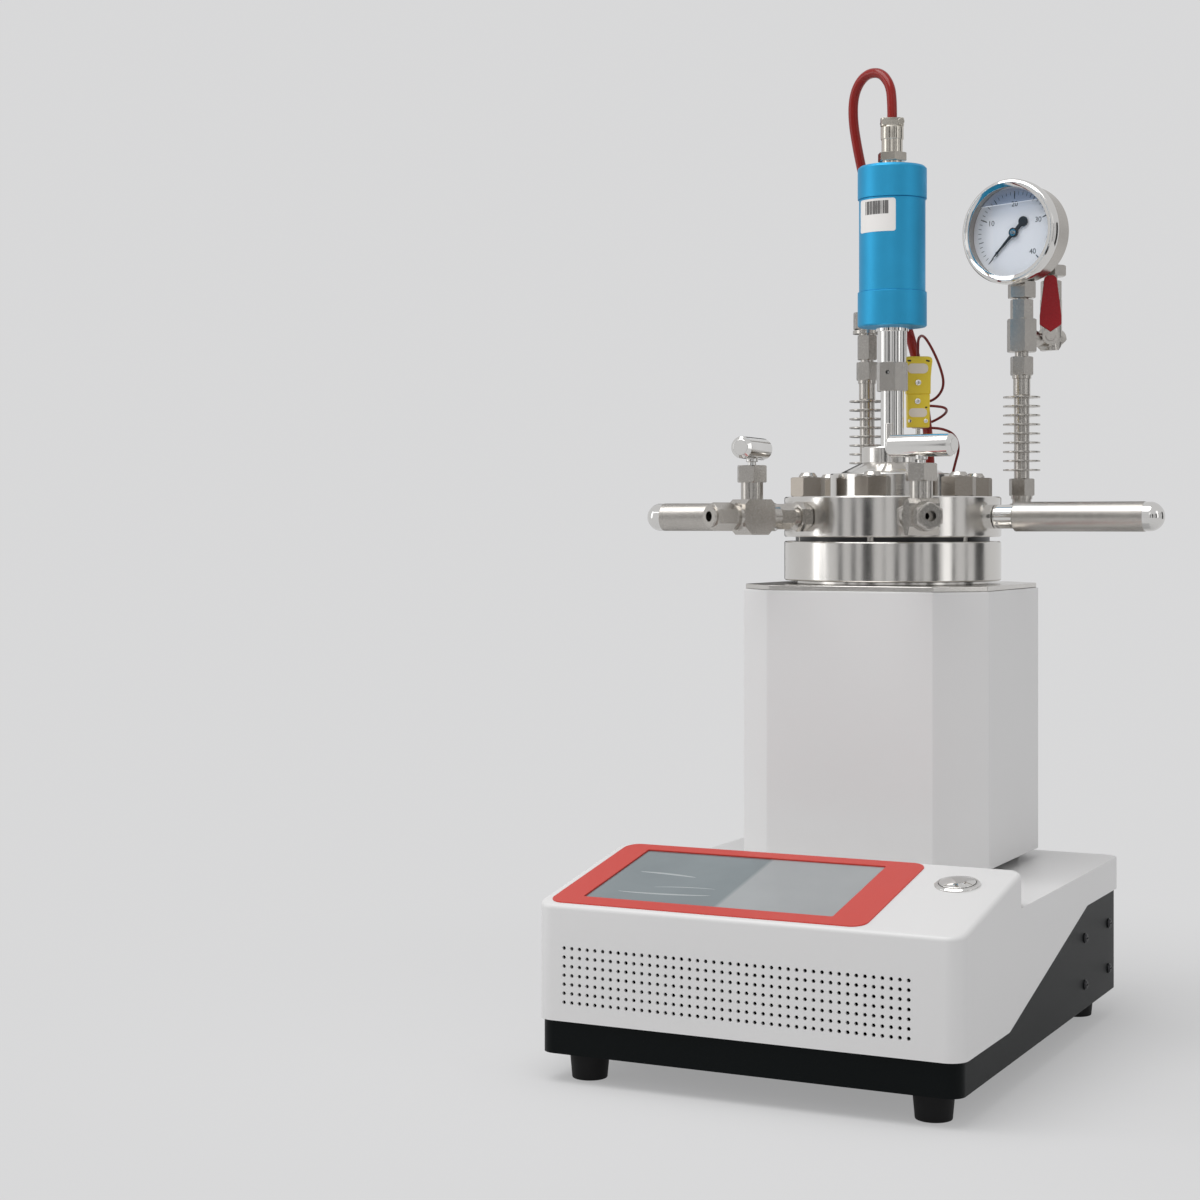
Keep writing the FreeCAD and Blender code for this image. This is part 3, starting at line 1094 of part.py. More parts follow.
def lever_sleeve():
    """A dipped vinyl sleeve, wider towards the pivot, with a V-shaped lower end."""
    low = LEVER_Z + SLEEVE_BOTTOM
    wide, narrow = LEVER_WIDE / 2, LEVER_NARROW / 2
    outline = [(0, low), (wide, low + 5.0), (wide, low + 11.0), (narrow, LEVER_Z + SLEEVE_TOP - 2.0),
               (narrow - 2.0, LEVER_Z + SLEEVE_TOP), (-narrow + 2.0, LEVER_Z + SLEEVE_TOP),
               (-narrow, LEVER_Z + SLEEVE_TOP - 2.0), (-wide, low + 11.0), (-wide, low + 5.0)]
    front = -LEVER_AT - LEVER_THICKNESS - SLEEVE_WALL
    corners = [V(x, front, z) for x, z in outline]
    skin_depth = V(0, LEVER_THICKNESS + 2 * SLEEVE_WALL, 0)
    skin = Part.Face(Part.makePolygon(corners + corners[:1])).extrude(skin_depth)
    return at_lever(skin).cut(pieces["vent_lever"])


pieces["vent_valve_body"] = vent_valve_body()
pieces["vent_lever"] = vent_lever()
pieces["lever_sleeve"] = lever_sleeve()
vent_outlet = joined(
    hexagon(VENT_NUT_AF, *VENT_NUT_Z, 0.8),
    cylinder(4.4, VENT_NUT_Z[1], VENT_CAP_Z[0]),
    hexagon(VENT_CAP_AF, *VENT_CAP_Z, 1.0)).cut(cylinder(FLOW_R, VENT_NUT_Z[0] - 1, VENT_CAP_Z[0] + 2))
pieces["vent_outlet"] = moved(vent_outlet, vent_x, vent_y)

# Relief head on the second stack: a holder for a bursting disc, with its clamping cap
relief_cap_z = RELIEF_BLOCK_Z[1] + 4.2
relief_head = joined(
    cylinder(4.6, UPPER_NUT_Z[1], RELIEF_BLOCK_Z[0]),
    hexagon(RELIEF_BLOCK_AF, *RELIEF_BLOCK_Z, 0.6),
    cylinder(RELIEF_BLOCK_AF / 2 - 0.4, RELIEF_BLOCK_Z[1], relief_cap_z),
    cylinder(RELIEF_RING_R, RELIEF_BLOCK_Z[1] + 1.0, RELIEF_BLOCK_Z[1] + 3.4),
    hexagon(RELIEF_CAP_AF, relief_cap_z, RELIEF_CAP_TOP, 1.0))
pieces["relief_head"] = on_station(relief_head.cut(cylinder(FLOW_R, 0, 900)), relief_angle)

# Thermocouple: a sheath in the lid, and two flat connectors plugged together above it
def at_probe(shape):
    return moved(turn(shape, PROBE_FACING + 90), PROBE_X, PROBE_Y)


def connector(outline, label):
    """A flat moulded connector half over a side outline, with a label recess on both flats."""
    depth = PROBE_PLUG_T / 2
    points = outline + [(-x, z) for x, z in reversed(outline)]
    corners = [V(x, -depth, z) for x, z in points]
    body = Part.Face(Part.makePolygon(corners + corners[:1])).extrude(V(0, PROBE_PLUG_T, 0))
    for side in (-1, 1):
        near, far = sorted((side * (depth - PROBE_RECESS), side * (depth + 1)))
        body = body.cut(box(-PROBE_LABEL_HALF, PROBE_LABEL_HALF, near, far, *label))
    return body


sheath = joined(cylinder(PROBE_R - 0.06, bore_bottom_z + 12, PROBE_SOCKET_Z[0]),
                cylinder(PROBE_FITTING_R, boss_top_z + 1, boss_top_z + 1 + PROBE_FITTING_H))
pieces["probe_sheath"] = moved(sheath, PROBE_X, PROBE_Y)
socket_outline = [(PROBE_SOCKET_HALF, z) for z in PROBE_SOCKET_Z]
plug_wide = PROBE_PLUG_HALF + PROBE_PLUG_FLARE
plug_outline = [(PROBE_PLUG_HALF, PROBE_SOCKET_Z[1]), (PROBE_PLUG_HALF, PROBE_PLUG_LABEL_Z[0]),
                (plug_wide, PROBE_PLUG_TOP - PROBE_PLUG_CORNER),
                (plug_wide - PROBE_PLUG_CORNER, PROBE_PLUG_TOP)]
pieces["probe_socket"] = at_probe(connector(socket_outline, PROBE_SOCKET_LABEL_Z))
pieces["probe_plug"] = at_probe(connector(plug_outline, PROBE_PLUG_LABEL_Z))

# Cords: a dark red motor cable and the thermocouple's thin lead, which winds round it.
# Both run down behind the lid and the tower into the glands. Points are about the vessel's axis.
gland_mouth_y = panel_face_y + GLAND_LENGTH
motor_cable_route = [
    (0, 0, plug_top_z), (0, 0, 600), (-1.8, 0.9, 611.5), (-9.8, 4.6, 621), (-22.6, 10.7, 621.5),
    (-31.8, 15, 611.5), (-34, 17.5, 595), (-31.5, 20.6, 573), (-26.4, 24.8, 545), (-19.2, 29.5, 513),
    (-10.5, 34.4, 480), (-0.9, 42, 447), (3.1, 51.9, 415), (3.6, 62.2, 387), (1.3, 74.5, 362),
    (-1.8, 86.3, 338), (-5, 96, 310), (-8, 100.5, 275), (-11, 101, 235), (-14, 103.5, 200),
    (-16, 109, 170), (-18, 119, 143), (-20, 131, 122), (-21.5, 142, 106), (-22, 149, 89),
    (-22, 145, 72.5), (-22, 133.5, 62), (-22, 118, 58), (MOTOR_GLAND_X, gland_mouth_y, GLAND_Z)]
probe_lead_route = [
    (PROBE_X, PROBE_Y, PROBE_PLUG_TOP), (9.6, 23.8, 440), (8.5, 27.7, 447), (8.9, 36.9, 449.5),
    (11.2, 46.9, 442), (14.7, 54.3, 430), (16.5, 59.7, 417), (9.8, 63.1, 408), (0.2, 62.2, 405),
    (-5.8, 55.2, 404), (-4, 47.2, 403), (3.8, 43.8, 402.5), (12.3, 49.2, 402.5), (18.3, 58.4, 401.5),
    (15.2, 66.9, 398), (5.4, 69.8, 393), (-3.6, 66.4, 390), (-6.7, 58.1, 389), (-1.1, 51.4, 388.5),
    (7.4, 52.3, 388), (15.2, 59, 387.5), (20.6, 68.4, 384), (21.4, 76.7, 375), (16.5, 82.1, 364.5),
    (11.5, 86.5, 350), (10.5, 91, 330), (11.5, 94.5, 303), (12.5, 96, 268), (13, 97, 228), (13.5, 101, 193),
    (14, 109, 164), (14, 119.5, 138), (14, 128, 113), (14, 131, 90), (14, 126, 72), (14, 115, 61),
    (PROBE_GLAND_X, gland_mouth_y, GLAND_Z)]


def rounded_route(name, route):
    """A wire of straight runs joined by tangent arcs, each as large as its two runs allow."""
    points = [V(*point) for point in route]
    edges = []
    radii = []
    start = points[0]
    for before, corner, after in zip(points, points[1:], points[2:]):
        back = before - corner
        ahead = after - corner
        shorter = min(back.Length, ahead.Length)
        half_turn = (math.pi - back.getAngle(ahead)) / 2
        reach = 0.45 * shorter
        radii.append(reach / math.tan(half_turn))
        back.normalize()
        ahead.normalize()
        arc_start = corner + back * reach
        arc_end = corner + ahead * reach
        bisector = (back + ahead).normalize()
        to_centre = radii[-1] / math.cos(half_turn)
        middle = corner + bisector * (to_centre - radii[-1])
        edges.append(Part.LineSegment(start, arc_start).toShape())
        edges.append(Part.Arc(arc_start, middle, arc_end).toShape())
        start = arc_end
    edges.append(Part.LineSegment(start, points[-1]).toShape())
    wire = Part.Wire(edges)
    print(name, "length", round(wire.Length, 1), "radii", [round(radius, 1) for radius in radii])
    return wire


def cord(name, route, radius):
    """A round tube along a rounded route; its volume is compared with section times length."""
    wire = rounded_route(name, route)
    heading = V(*route[1]) - V(*route[0])
    section = Part.Wire([Part.makeCircle(radius, V(*route[0]), heading)])
    tube = wire.makePipeShell([section], True, False)
    expected = math.pi * radius ** 2 * wire.Length
    print(name, "volume over section times length", round(tube.Volume / expected, 4))
    return tube


pieces["motor_cable"] = cord("motor_cable", motor_cable_route, CABLE_R)
pieces["probe_lead"] = cord("probe_lead", probe_lead_route, PROBE_LEAD_R)

# The origin goes to the middle of the footprint on the floor, measured without the cords
cord_nodes = ["motor_cable", "probe_lead", "cable_plug", "probe_plug"]
body_box = Part.makeCompound([shape for name, shape in pieces.items() if name not in cord_nodes]).BoundBox
to_origin = V(-body_box.Center.x, -body_box.Center.y, -body_box.ZMin)

os.makedirs("parts", exist_ok=True)
for name, shape in pieces.items():
    shape.translate(to_origin)
    shape.exportStep("parts/" + name + ".step")
    print(name, "solids", len(shape.Solids), "valid", shape.isValid(), "volume", round(shape.Volume, 1))
print("nodes", len(pieces), "vessel axis at", round(to_origin.x, 3), round(to_origin.y, 3))
print("size", round(body_box.XLength, 1), round(body_box.YLength, 1), round(body_box.ZLength, 1))
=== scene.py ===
import math

import bmesh
import bpy
import numpy as np
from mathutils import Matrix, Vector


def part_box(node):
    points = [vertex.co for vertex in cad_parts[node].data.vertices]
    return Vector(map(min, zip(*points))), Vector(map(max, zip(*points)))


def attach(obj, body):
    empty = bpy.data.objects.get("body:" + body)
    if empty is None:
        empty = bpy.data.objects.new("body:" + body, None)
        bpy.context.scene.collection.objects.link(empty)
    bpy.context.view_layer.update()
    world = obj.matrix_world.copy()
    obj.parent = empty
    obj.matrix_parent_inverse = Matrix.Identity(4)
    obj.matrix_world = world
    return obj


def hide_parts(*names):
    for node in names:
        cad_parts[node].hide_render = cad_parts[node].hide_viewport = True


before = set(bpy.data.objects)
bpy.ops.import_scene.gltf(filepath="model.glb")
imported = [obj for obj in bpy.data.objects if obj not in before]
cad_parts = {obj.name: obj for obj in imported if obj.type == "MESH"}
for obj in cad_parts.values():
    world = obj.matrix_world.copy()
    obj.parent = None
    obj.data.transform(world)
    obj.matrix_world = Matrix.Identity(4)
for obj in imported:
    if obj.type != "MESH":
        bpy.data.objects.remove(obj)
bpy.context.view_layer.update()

# High pressure reactor: a heated and stirred steel vessel on a control base. Sizes are in
# millimetres about the vessel's axis at floor level, and become metres when a mesh is made.
MM = 0.001
axis_y = sum(corner.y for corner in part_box("lid")) / 2


# Studio. A pale floor runs into an even pale surround. Soft lamps hang overhead and stand at
# both sides, and dark cards stand out of view, where the polished steel mirrors them.
BACKGROUND = (0.69, 0.69, 0.695)
FLOOR = (0.74, 0.74, 0.745)
FLOOR_SIZE = 6.0
SHADOW_RADIUS = (0.14, 0.60)
SHADOW_SHARE = 0.55
# Each card's azimuth and width in degrees, seen from the vessel, and its grey.
CARDS = ((-150, 8, 0.06), (-126, 5, 0.12), (-111, 5, 0.15), (-96, 11, 0.02), (-79, 2, 0.25), (-66, 5, 0.08),
         (-52, 8, 0.05), (-41, 3, 0.20), (-24, 13, 0.03), (-5, 5, 0.12), (12, 3, 0.20), (32, 16, 0.05),
         (118, 18, 0.06))
CARD_DISTANCE = 1.9
CARD_LOW, CARD_HIGH = 0.0, 0.95
FELT_ROUGHNESS = 0.9
# Each lamp's name, place, width and height in metres, and power in watts.
LAMPS = (
    ("overhead", (-0.30, -0.55, 1.75), (1.5, 1.1), 17.5),
    ("left_box", (-1.55, -0.75, 0.75), (0.55, 1.3), 3.6),
    ("right_box", (1.60, -0.35, 0.70), (0.45, 1.3), 1.3),
    ("front_box", (0.55, -2.10, 1.10), (0.8, 0.8), 0.7),
)
LAMP_AIM = (0.0, 0.05, 0.28)
SURROUND_LIGHT = 0.44


def add(material, kind, inputs=None, **settings):
    """Adds one shader node. Its inputs are plain values or other nodes' outputs."""
    made = material.node_tree.nodes.new("ShaderNode" + kind)
    for key, value in settings.items():
        setattr(made, key, value)
    for key, value in (inputs or {}).items():
        if isinstance(value, bpy.types.NodeSocket):
            material.node_tree.links.new(value, made.inputs[key])
        else:
            made.inputs[key].default_value = value
    return made


def mesh_object(name, points, faces):
    """An object at the origin with these points, in metres, and faces."""
    mesh = bpy.data.meshes.new(name)
    mesh.from_pydata(points, [], faces)
    mesh.update()
    made = bpy.data.objects.new(name, mesh)
    bpy.context.scene.collection.objects.link(made)
    return made


def new_material(name):
    """A material and its shader."""
    made = bpy.data.materials.new(name)
    made.use_nodes = True
    return made, made.node_tree.nodes["Principled BSDF"]


def bare_material(name):
    """A material that has no shader yet."""
    made = new_material(name)[0]
    made.node_tree.nodes.clear()
    return made


def floor_finish():
    """Matt paper that fades, away from the reactor, into the colour of the surround."""
    paper = bare_material("studio_paper")
    place = add(paper, "TexCoord").outputs["Object"]
    away = add(paper, "VectorMath", {0: place}, operation="LENGTH").outputs["Value"]
    fade = add(paper, "MapRange", {0: away, 1: SHADOW_RADIUS[0], 2: SHADOW_RADIUS[1], 3: 1 - SHADOW_SHARE},
               interpolation_type="SMOOTHSTEP").outputs[0]
    matt = add(paper, "BsdfDiffuse", {"Color": (*FLOOR, 1)}).outputs[0]
    plain = add(paper, "Emission", {"Color": (*BACKGROUND, 1)}).outputs[0]
    both = add(paper, "MixShader", {0: fade, 1: matt, 2: plain}).outputs[0]
    add(paper, "OutputMaterial", {0: both})
    return paper


floor_corners = [(x * FLOOR_SIZE, y * FLOOR_SIZE, 0) for x, y in ((-1, -1), (1, -1), (1, 1), (-1, 1))]
floor = mesh_object("floor", floor_corners, [(0, 1, 2, 3)])
floor.data.materials.append(floor_finish())


def upright_card(number, azimuth, width, grey):
    """A flat card that faces the vessel from one side, seen only by mirroring surfaces."""
    half = math.radians(width / 2)
    middle = math.radians(azimuth)
    edges = [(CARD_DISTANCE * math.cos(a), axis_y + CARD_DISTANCE * math.sin(a))
             for a in (middle - half, middle + half)]
    corners = [(*edges[0], CARD_LOW), (*edges[1], CARD_LOW), (*edges[1], CARD_HIGH), (*edges[0], CARD_HIGH)]
    card = mesh_object(f"studio_card_{number}", corners, [(0, 1, 2, 3)])
    felt, shader = new_material(f"card_felt_{number}")
    shader.inputs["Base Color"].default_value = (grey, grey, grey, 1)
    shader.inputs["Roughness"].default_value = FELT_ROUGHNESS
    card.data.materials.append(felt)
    card.visible_camera = False
    card.visible_diffuse = False
    card.visible_shadow = False


for number, (azimuth, width, grey) in enumerate(CARDS):
    upright_card(number, azimuth, width, grey)

for name, place, panel, power in LAMPS:
    light = bpy.data.lights.new(name, "AREA")
    light.shape = "RECTANGLE"
    light.size, light.size_y = panel
    light.energy = power
    lamp = bpy.data.objects.new(name, light)
    lamp.location = place
    aim = [target - start for start, target in zip(place, LAMP_AIM)]
    lamp.rotation_euler = (math.atan2(math.hypot(aim[0], aim[1]), -aim[2]), 0, math.atan2(-aim[0], aim[1]))
    bpy.context.scene.collection.objects.link(lamp)

world = bpy.data.worlds.new("studio")
bpy.context.scene.world = world
world.use_nodes = True
world.node_tree.nodes.clear()
rays = add(world, "LightPath").outputs
straight = add(world, "Math", {0: rays["Is Camera Ray"], 1: rays["Is Transmission Ray"]},
               operation="MAXIMUM").outputs[0]
seen = add(world, "Math", {0: straight, 1: rays["Is Glossy Ray"]}, operation="MAXIMUM").outputs[0]
fill = add(world, "Background", {0: (1, 1, 1, 1), 1: SURROUND_LIGHT}).outputs[0]
backdrop = add(world, "Background", {0: (*BACKGROUND, 1), 1: 1.0}).outputs[0]
add(world, "OutputWorld", {0: add(world, "MixShader", {0: seen, 1: fill, 2: backdrop}).outputs[0]})

bpy.context.scene.view_settings.view_transform = "Standard"


# Camera. It is level and stands to the right of the front; the lens is shifted down, so that
# the reactor's uprights stay upright in the picture.
CAMERA_AT = (495.9, -1419.1, 323.1)
LENS, SENSOR = 68.28, 36.0
CAMERA_HEADING = math.atan2(0.4474, 0.8943)
# The horizon's row in a picture of this height puts the vertical shift.
HORIZON_ROW = 524.0
PICTURE = 1200.0
camera_lens = bpy.data.cameras.new("camera")
camera_lens.lens = LENS
camera_lens.sensor_width = SENSOR
camera_lens.shift_y = (HORIZON_ROW - PICTURE / 2) / PICTURE
camera = bpy.data.objects.new("camera", camera_lens)
camera.location = (CAMERA_AT[0] * MM, CAMERA_AT[1] * MM + axis_y, CAMERA_AT[2] * MM)
camera.rotation_euler = (math.pi / 2, 0, CAMERA_HEADING)
bpy.context.scene.collection.objects.link(camera)
bpy.context.scene.camera = camera


# Cords. The motor's cable is a glossy dark red silicone lead. It loops out of the plug, comes
# down behind the lid and the tower, and enters the base at the rear. The thermocouple's thin
# lead is wound loosely round it. Both are extruded jackets over stranded copper.
MOTOR_CABLE_DIAMETER = 6.5
PROBE_LEAD_DIAMETER = 1.8
motor_cable_route = [
    (0, 0, 588.8), (0, 0, 600), (-1.8, 0.9, 611.5), (-9.8, 4.6, 621), (-22.6, 10.7, 621.5),
    (-31.8, 15, 611.5), (-34, 17.5, 595), (-31.5, 20.6, 573), (-26.4, 24.8, 545), (-19.2, 29.5, 513),
    (-10.5, 34.4, 480), (-0.9, 42, 447), (3.1, 51.9, 415), (3.6, 62.2, 387), (1.3, 74.5, 362),
    (-1.8, 86.3, 338), (-5, 96, 310), (-8, 100.5, 275), (-11, 101, 235), (-14, 103.5, 200),
    (-16, 109, 170), (-18, 119, 143), (-20, 131, 122), (-21.5, 142, 106), (-22, 149, 89),
    (-22, 145, 72.5), (-22, 133.5, 62), (-22, 118, 58), (-22, 102.2, 58)]
probe_lead_route = [
    (9.6, 23.8, 434), (9.6, 23.8, 440), (8.5, 27.7, 447), (8.9, 36.9, 449.5),
    (11.2, 46.9, 442), (14.7, 54.3, 430), (16.5, 59.7, 417), (9.8, 63.1, 408), (0.2, 62.2, 405),
    (-5.8, 55.2, 404), (-4, 47.2, 403), (3.8, 43.8, 402.5), (12.3, 49.2, 402.5), (18.3, 58.4, 401.5),
    (15.2, 66.9, 398), (5.4, 69.8, 393), (-3.6, 66.4, 390), (-6.7, 58.1, 389), (-1.1, 51.4, 388.5),
    (7.4, 52.3, 388), (15.2, 59, 387.5), (20.6, 68.4, 384), (21.4, 76.7, 375), (16.5, 82.1, 364.5),
    (11.5, 86.5, 350), (10.5, 91, 330), (11.5, 94.5, 303), (12.5, 96, 268), (13, 97, 228), (13.5, 101, 193),
    (14, 109, 164), (14, 119.5, 138), (14, 128, 113), (14, 131, 90), (14, 126, 72), (14, 115, 61),
    (14, 102.2, 58)]


def link(material, output, target):
    """Joins an output to a shader's socket."""
    material.node_tree.links.new(output, target)


def clouded(material, colour, dullest, scale, detail):
    """Lets the base colour drift down to a share of itself, and gives the place and the drift."""
    place = add(material, "TexCoord").outputs["Object"]
    cloud = add(material, "TexNoise", {"Vector": place, "Scale": scale, "Detail": detail}).outputs["Fac"]
    dull = tuple(dullest * part for part in colour)
    mixed = add(material, "Mix", {"Factor": cloud, "A": (*dull, 1), "B": (*colour, 1)}, data_type="RGBA")
    link(material, mixed.outputs["Result"], material.node_tree.nodes["Principled BSDF"].inputs["Base Color"])
    return place, cloud


def uneven_shine(material, pattern, low, high, start=0.0, end=1.0):
    """Lets the roughness follow a pattern, whose values from start to end span low to high."""
    gloss = add(material, "MapRange", {0: pattern, 1: start, 2: end, 3: low, 4: high}).outputs[0]
    link(material, gloss, material.node_tree.nodes["Principled BSDF"].inputs["Roughness"])


def raised(material, pattern, strength, distance):
    """Lets a pattern stand out of the surface, by a distance in metres."""
    relief = add(material, "Bump", {"Height": pattern, "Strength": strength, "Distance": distance})
    link(material, relief.outputs[0], material.node_tree.nodes["Principled BSDF"].inputs["Normal"])


def jacket(name, colour, roughness, coat):
    """An extruded jacket: a soft sheen, faint flow marks and slightly uneven colour."""
    made, shader = new_material(name)
    place, cloud = clouded(made, colour, 0.7, 60.0, 3.0)
    uneven_shine(made, cloud, roughness - 0.05, roughness + 0.08)
    marks = add(made, "TexNoise", {"Vector": place, "Scale": 900.0, "Detail": 2.0}).outputs["Fac"]
    raised(made, marks, 0.12, 0.0002)
    shader.inputs["Specular IOR Level"].default_value = 0.2
    shader.inputs["Coat Weight"].default_value = coat
    shader.inputs["Coat Roughness"].default_value = 0.06
    return made


def smooth_cord(name, route, diameter, finish):
    """A round tube along one smooth spline that the route's points pull into shape."""
    line = bpy.data.curves.new(name, "CURVE")
    line.dimensions = "3D"
    line.bevel_depth = diameter / 2 * MM
    line.bevel_resolution = 6
    line.resolution_u = 8
    spline = line.splines.new("NURBS")
    spline.points.add(len(route) - 1)
    for point, (x, y, z) in zip(spline.points, route):
        point.co = (x * MM, y * MM + axis_y, z * MM, 1)
    spline.order_u = 3
    spline.use_endpoint_u = True
    made = bpy.data.objects.new(name, line)
    bpy.context.scene.collection.objects.link(made)
    line.materials.append(finish)
    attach(made, "root")
    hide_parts(name)
    return made


red_jacket = jacket("red_silicone", (0.29, 0.012, 0.008), 0.22, 0.28)
brown_jacket = jacket("lead_jacket", (0.20, 0.018, 0.014), 0.34, 0.15)
smooth_cord("motor_cable", motor_cable_route, MOTOR_CABLE_DIAMETER,
                    red_jacket)
smooth_cord("probe_lead", probe_lead_route, PROBE_LEAD_DIAMETER,
                    brown_jacket)


# Base tray. A tray folded from 1.5 mm steel sheet carries everything. It has a dark textured
# powder coat, and its sides climb towards the rear, where they show beside the white cover.
SAME_POINT = 1e-6
SAME_PLANE = math.radians(0.2)
SHARP_DEGREES = 30.0


def shaded(shape, sharp_degrees):
    """Smooths a shape's faces, but for edges where two faces meet at more than the given angle."""
    for face in shape.faces:
        face.smooth = True
    for edge in shape.edges:
        edge.smooth = len(edge.link_faces) == 2 and edge.calc_face_angle() < math.radians(sharp_degrees)


def merged_copy(node):
    """A copy of a CAD node with its loose triangles joined and flat areas made whole faces."""
    shape = bmesh.new()
    shape.from_mesh(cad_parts[node].data)
    bmesh.ops.remove_doubles(shape, verts=shape.verts, dist=SAME_POINT)
    bmesh.ops.dissolve_limit(shape, angle_limit=SAME_PLANE, verts=shape.verts, edges=shape.edges)
    shaded(shape, SHARP_DEGREES)
    mesh = bpy.data.meshes.new(node + "_finished")
    shape.to_mesh(mesh)
    shape.free()
    made = bpy.data.objects.new(node + "_finished", mesh)
    bpy.context.scene.collection.objects.link(made)
    return made


def soften(piece, width):
    """Rounds a piece's sharp edges by that many millimetres."""
    bevel = piece.modifiers.new("edges", "BEVEL")
    bevel.width = width * MM
    bevel.segments = 2
    bevel.limit_method = "ANGLE"
    bevel.angle_limit = math.radians(SHARP_DEGREES)
    bevel.use_clamp_overlap = True
    bevel.harden_normals = True


def finished(node, finish, edge, body="root"):
    """A CAD node's shape with its edges softened, in its own finish."""
    piece = merged_copy(node)
    soften(piece, edge)
    piece.data.materials.append(finish)
    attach(piece, body)
    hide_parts(node)


def powder_coat(name, colour, roughness, grain, bump, mottle=0.04, shine=0.5):
    """Baked powder: a fine orange peel in the surface, and colour that is even but not dead flat.
    Moulded plastic, rubber and print are made of it too, with a grain of their own."""
    made, shader = new_material(name)
    place = clouded(made, colour, 1 - mottle, 9.0, 4.0)[0]
    peel = add(made, "TexNoise", {"Vector": place, "Scale": grain, "Detail": 3.0,
                                  "Roughness": 0.6}).outputs["Fac"]
    uneven_shine(made, peel, roughness - 0.06, roughness + 0.06)
    raised(made, peel, bump, 0.0003)
    shader.inputs["Specular IOR Level"].default_value = shine
    return made


# The faint teal in this black is a painted reflection; the rear panel's coat shares it.
black_coat = powder_coat("black_powder_coat", (0.0026, 0.0042, 0.0046), 0.42, 2600.0, 0.30, 0.2, 0.10)
finished("base_tray", black_coat, 0.5)


# Feet. Four turned rubber feet are screwed under the tray's corners; mould release and dust
# leave them slightly mottled.
rubber = powder_coat("black_rubber", (0.009, 0.009, 0.0095), 0.62, 1500.0, 0.3, 0.3, 0.2)
finished("rubber_feet", rubber, 0.6)


# Cover. A white cover folded from steel sheet lies over the tray, its console sloped towards
# the operator. Its front is perforated by a punched field of round holes that lets air in.
white_coat = powder_coat("white_powder_coat", (0.79, 0.785, 0.785), 0.38, 1900.0, 0.10)
finished("base_cover", white_coat, 0.45)


# Rear panel. A black-coated plate closes the tray's rear window, with the moulded mains inlet
# and the two glands that the cords go into.
moulded_black = powder_coat("moulded_black", (0.014, 0.014, 0.015), 0.45, 1200.0, 0.2, 0.2)
# The rear panel shares the tray's coat, with its painted teal reflection.
finished("rear_panel", black_coat, 0.3)
finished("mains_inlet", moulded_black, 0.4)
finished("cable_glands", moulded_black, 0.4)


# Side screws. Small blackened pan heads hold the tray's two sides to the frame inside. Two pairs
# stand near the rear on each side.
FINE_GRAIN = (2600.0, 2600.0, 2600.0)


def plain_metal(name, colour, low, high, bump, scale=FINE_GRAIN):
    """Machined metal: fine scratches, which a scale per axis may stretch, vary its shine."""
    made, shader = new_material(name)
    shader.inputs["Metallic"].default_value = 1.0
    place = clouded(made, colour, 0.86, 45.0, 2.0)[0]
    stretched = add(made, "Mapping", {"Vector": place, "Scale": scale}).outputs[0]
    scratch = add(made, "TexNoise", {"Vector": stretched, "Scale": 1.0, "Detail": 4.0,
                                     "Roughness": 0.65}).outputs["Fac"]
    uneven_shine(made, scratch, low, high, 0.3, 0.7)
    raised(made, scratch, bump, 0.0001)
    return made


dark_steel = plain_metal("blackened_steel", (0.05, 0.05, 0.053), 0.30, 0.42, 0.1)
finished("side_screws", dark_steel, 0.5)


# Bezel and screen. A coral-red moulded bezel sits almost flush in the console, round a glass
# touch panel that still has its clear protective film.
# Right of this edge the screen's glass is painted paler, as a painted reflection.
REFLECTION_EDGE = (-24.0, -21.0)

coral = powder_coat("coral_plastic", (0.62, 0.060, 0.045), 0.34, 2400.0, 0.08, 0.05, 0.2)
finished("screen_bezel", coral, 0.35)


def glass_with_painted_reflection():
    """Dark panel glass, painted paler on its right part: a painted reflection."""
    made = powder_coat("screen_glass", (0.15, 0.19, 0.205), 0.10, 300.0, 0.02, 0.06)
    shader = made.node_tree.nodes["Principled BSDF"]
    place = add(made, "TexCoord").outputs["Object"]
    across = add(made, "SeparateXYZ", {0: place}).outputs["X"]
    reflection_share = add(made, "MapRange", {0: across, 1: REFLECTION_EDGE[0] * MM, 2: REFLECTION_EDGE[1] * MM}).outputs[0]
    haze = add(made, "TexNoise", {"Vector": place, "Scale": 22.0, "Detail": 3.0}).outputs["Fac"]
    own_glass = add(made, "Mix", {"Factor": haze, "A": (0.12, 0.155, 0.17, 1), "B": (0.20, 0.245, 0.26, 1)},
                data_type="RGBA").outputs["Result"]
    # The paler colours on the right are a painted reflection, clouded at random.
    pale = add(made, "Mix", {"Factor": haze, "A": (0.30, 0.32, 0.33, 1), "B": (0.37, 0.39, 0.40, 1)},
               data_type="RGBA").outputs["Result"]
    both = add(made, "Mix", {"Factor": reflection_share, "A": own_glass, "B": pale}, data_type="RGBA").outputs["Result"]
    link(made, both, shader.inputs["Base Color"])
    return made


finished("touch_screen", glass_with_painted_reflection(), 0.1)


# Screen film. The clear protective film was lifted and laid back on the panel, and has three
# long shallow creases that catch the light.
BEZEL_FRONT = 251.5
BEZEL_X = -122.5
# The console's lower and upper edge, as distance in front of the vessel's axis and height.
CONSOLE_LOW, CONSOLE_HIGH = (255.5, 103.3), (137.8, 124.3)
SLOPE = math.atan2(CONSOLE_HIGH[1] - CONSOLE_LOW[1], CONSOLE_LOW[0] - CONSOLE_HIGH[0])
BEZEL_Z = CONSOLE_LOW[1] + (CONSOLE_LOW[0] - BEZEL_FRONT) * math.tan(SLOPE)
FILM_DEPTH = 0.28
# A crease's section, as shares of its width across and millimetres out of the film.
CREASE_SECTION = ((-0.5, -0.05), (-0.2, 0.10), (0.2, 0.10), (0.5, -0.05))
CREASE_STEPS = 40


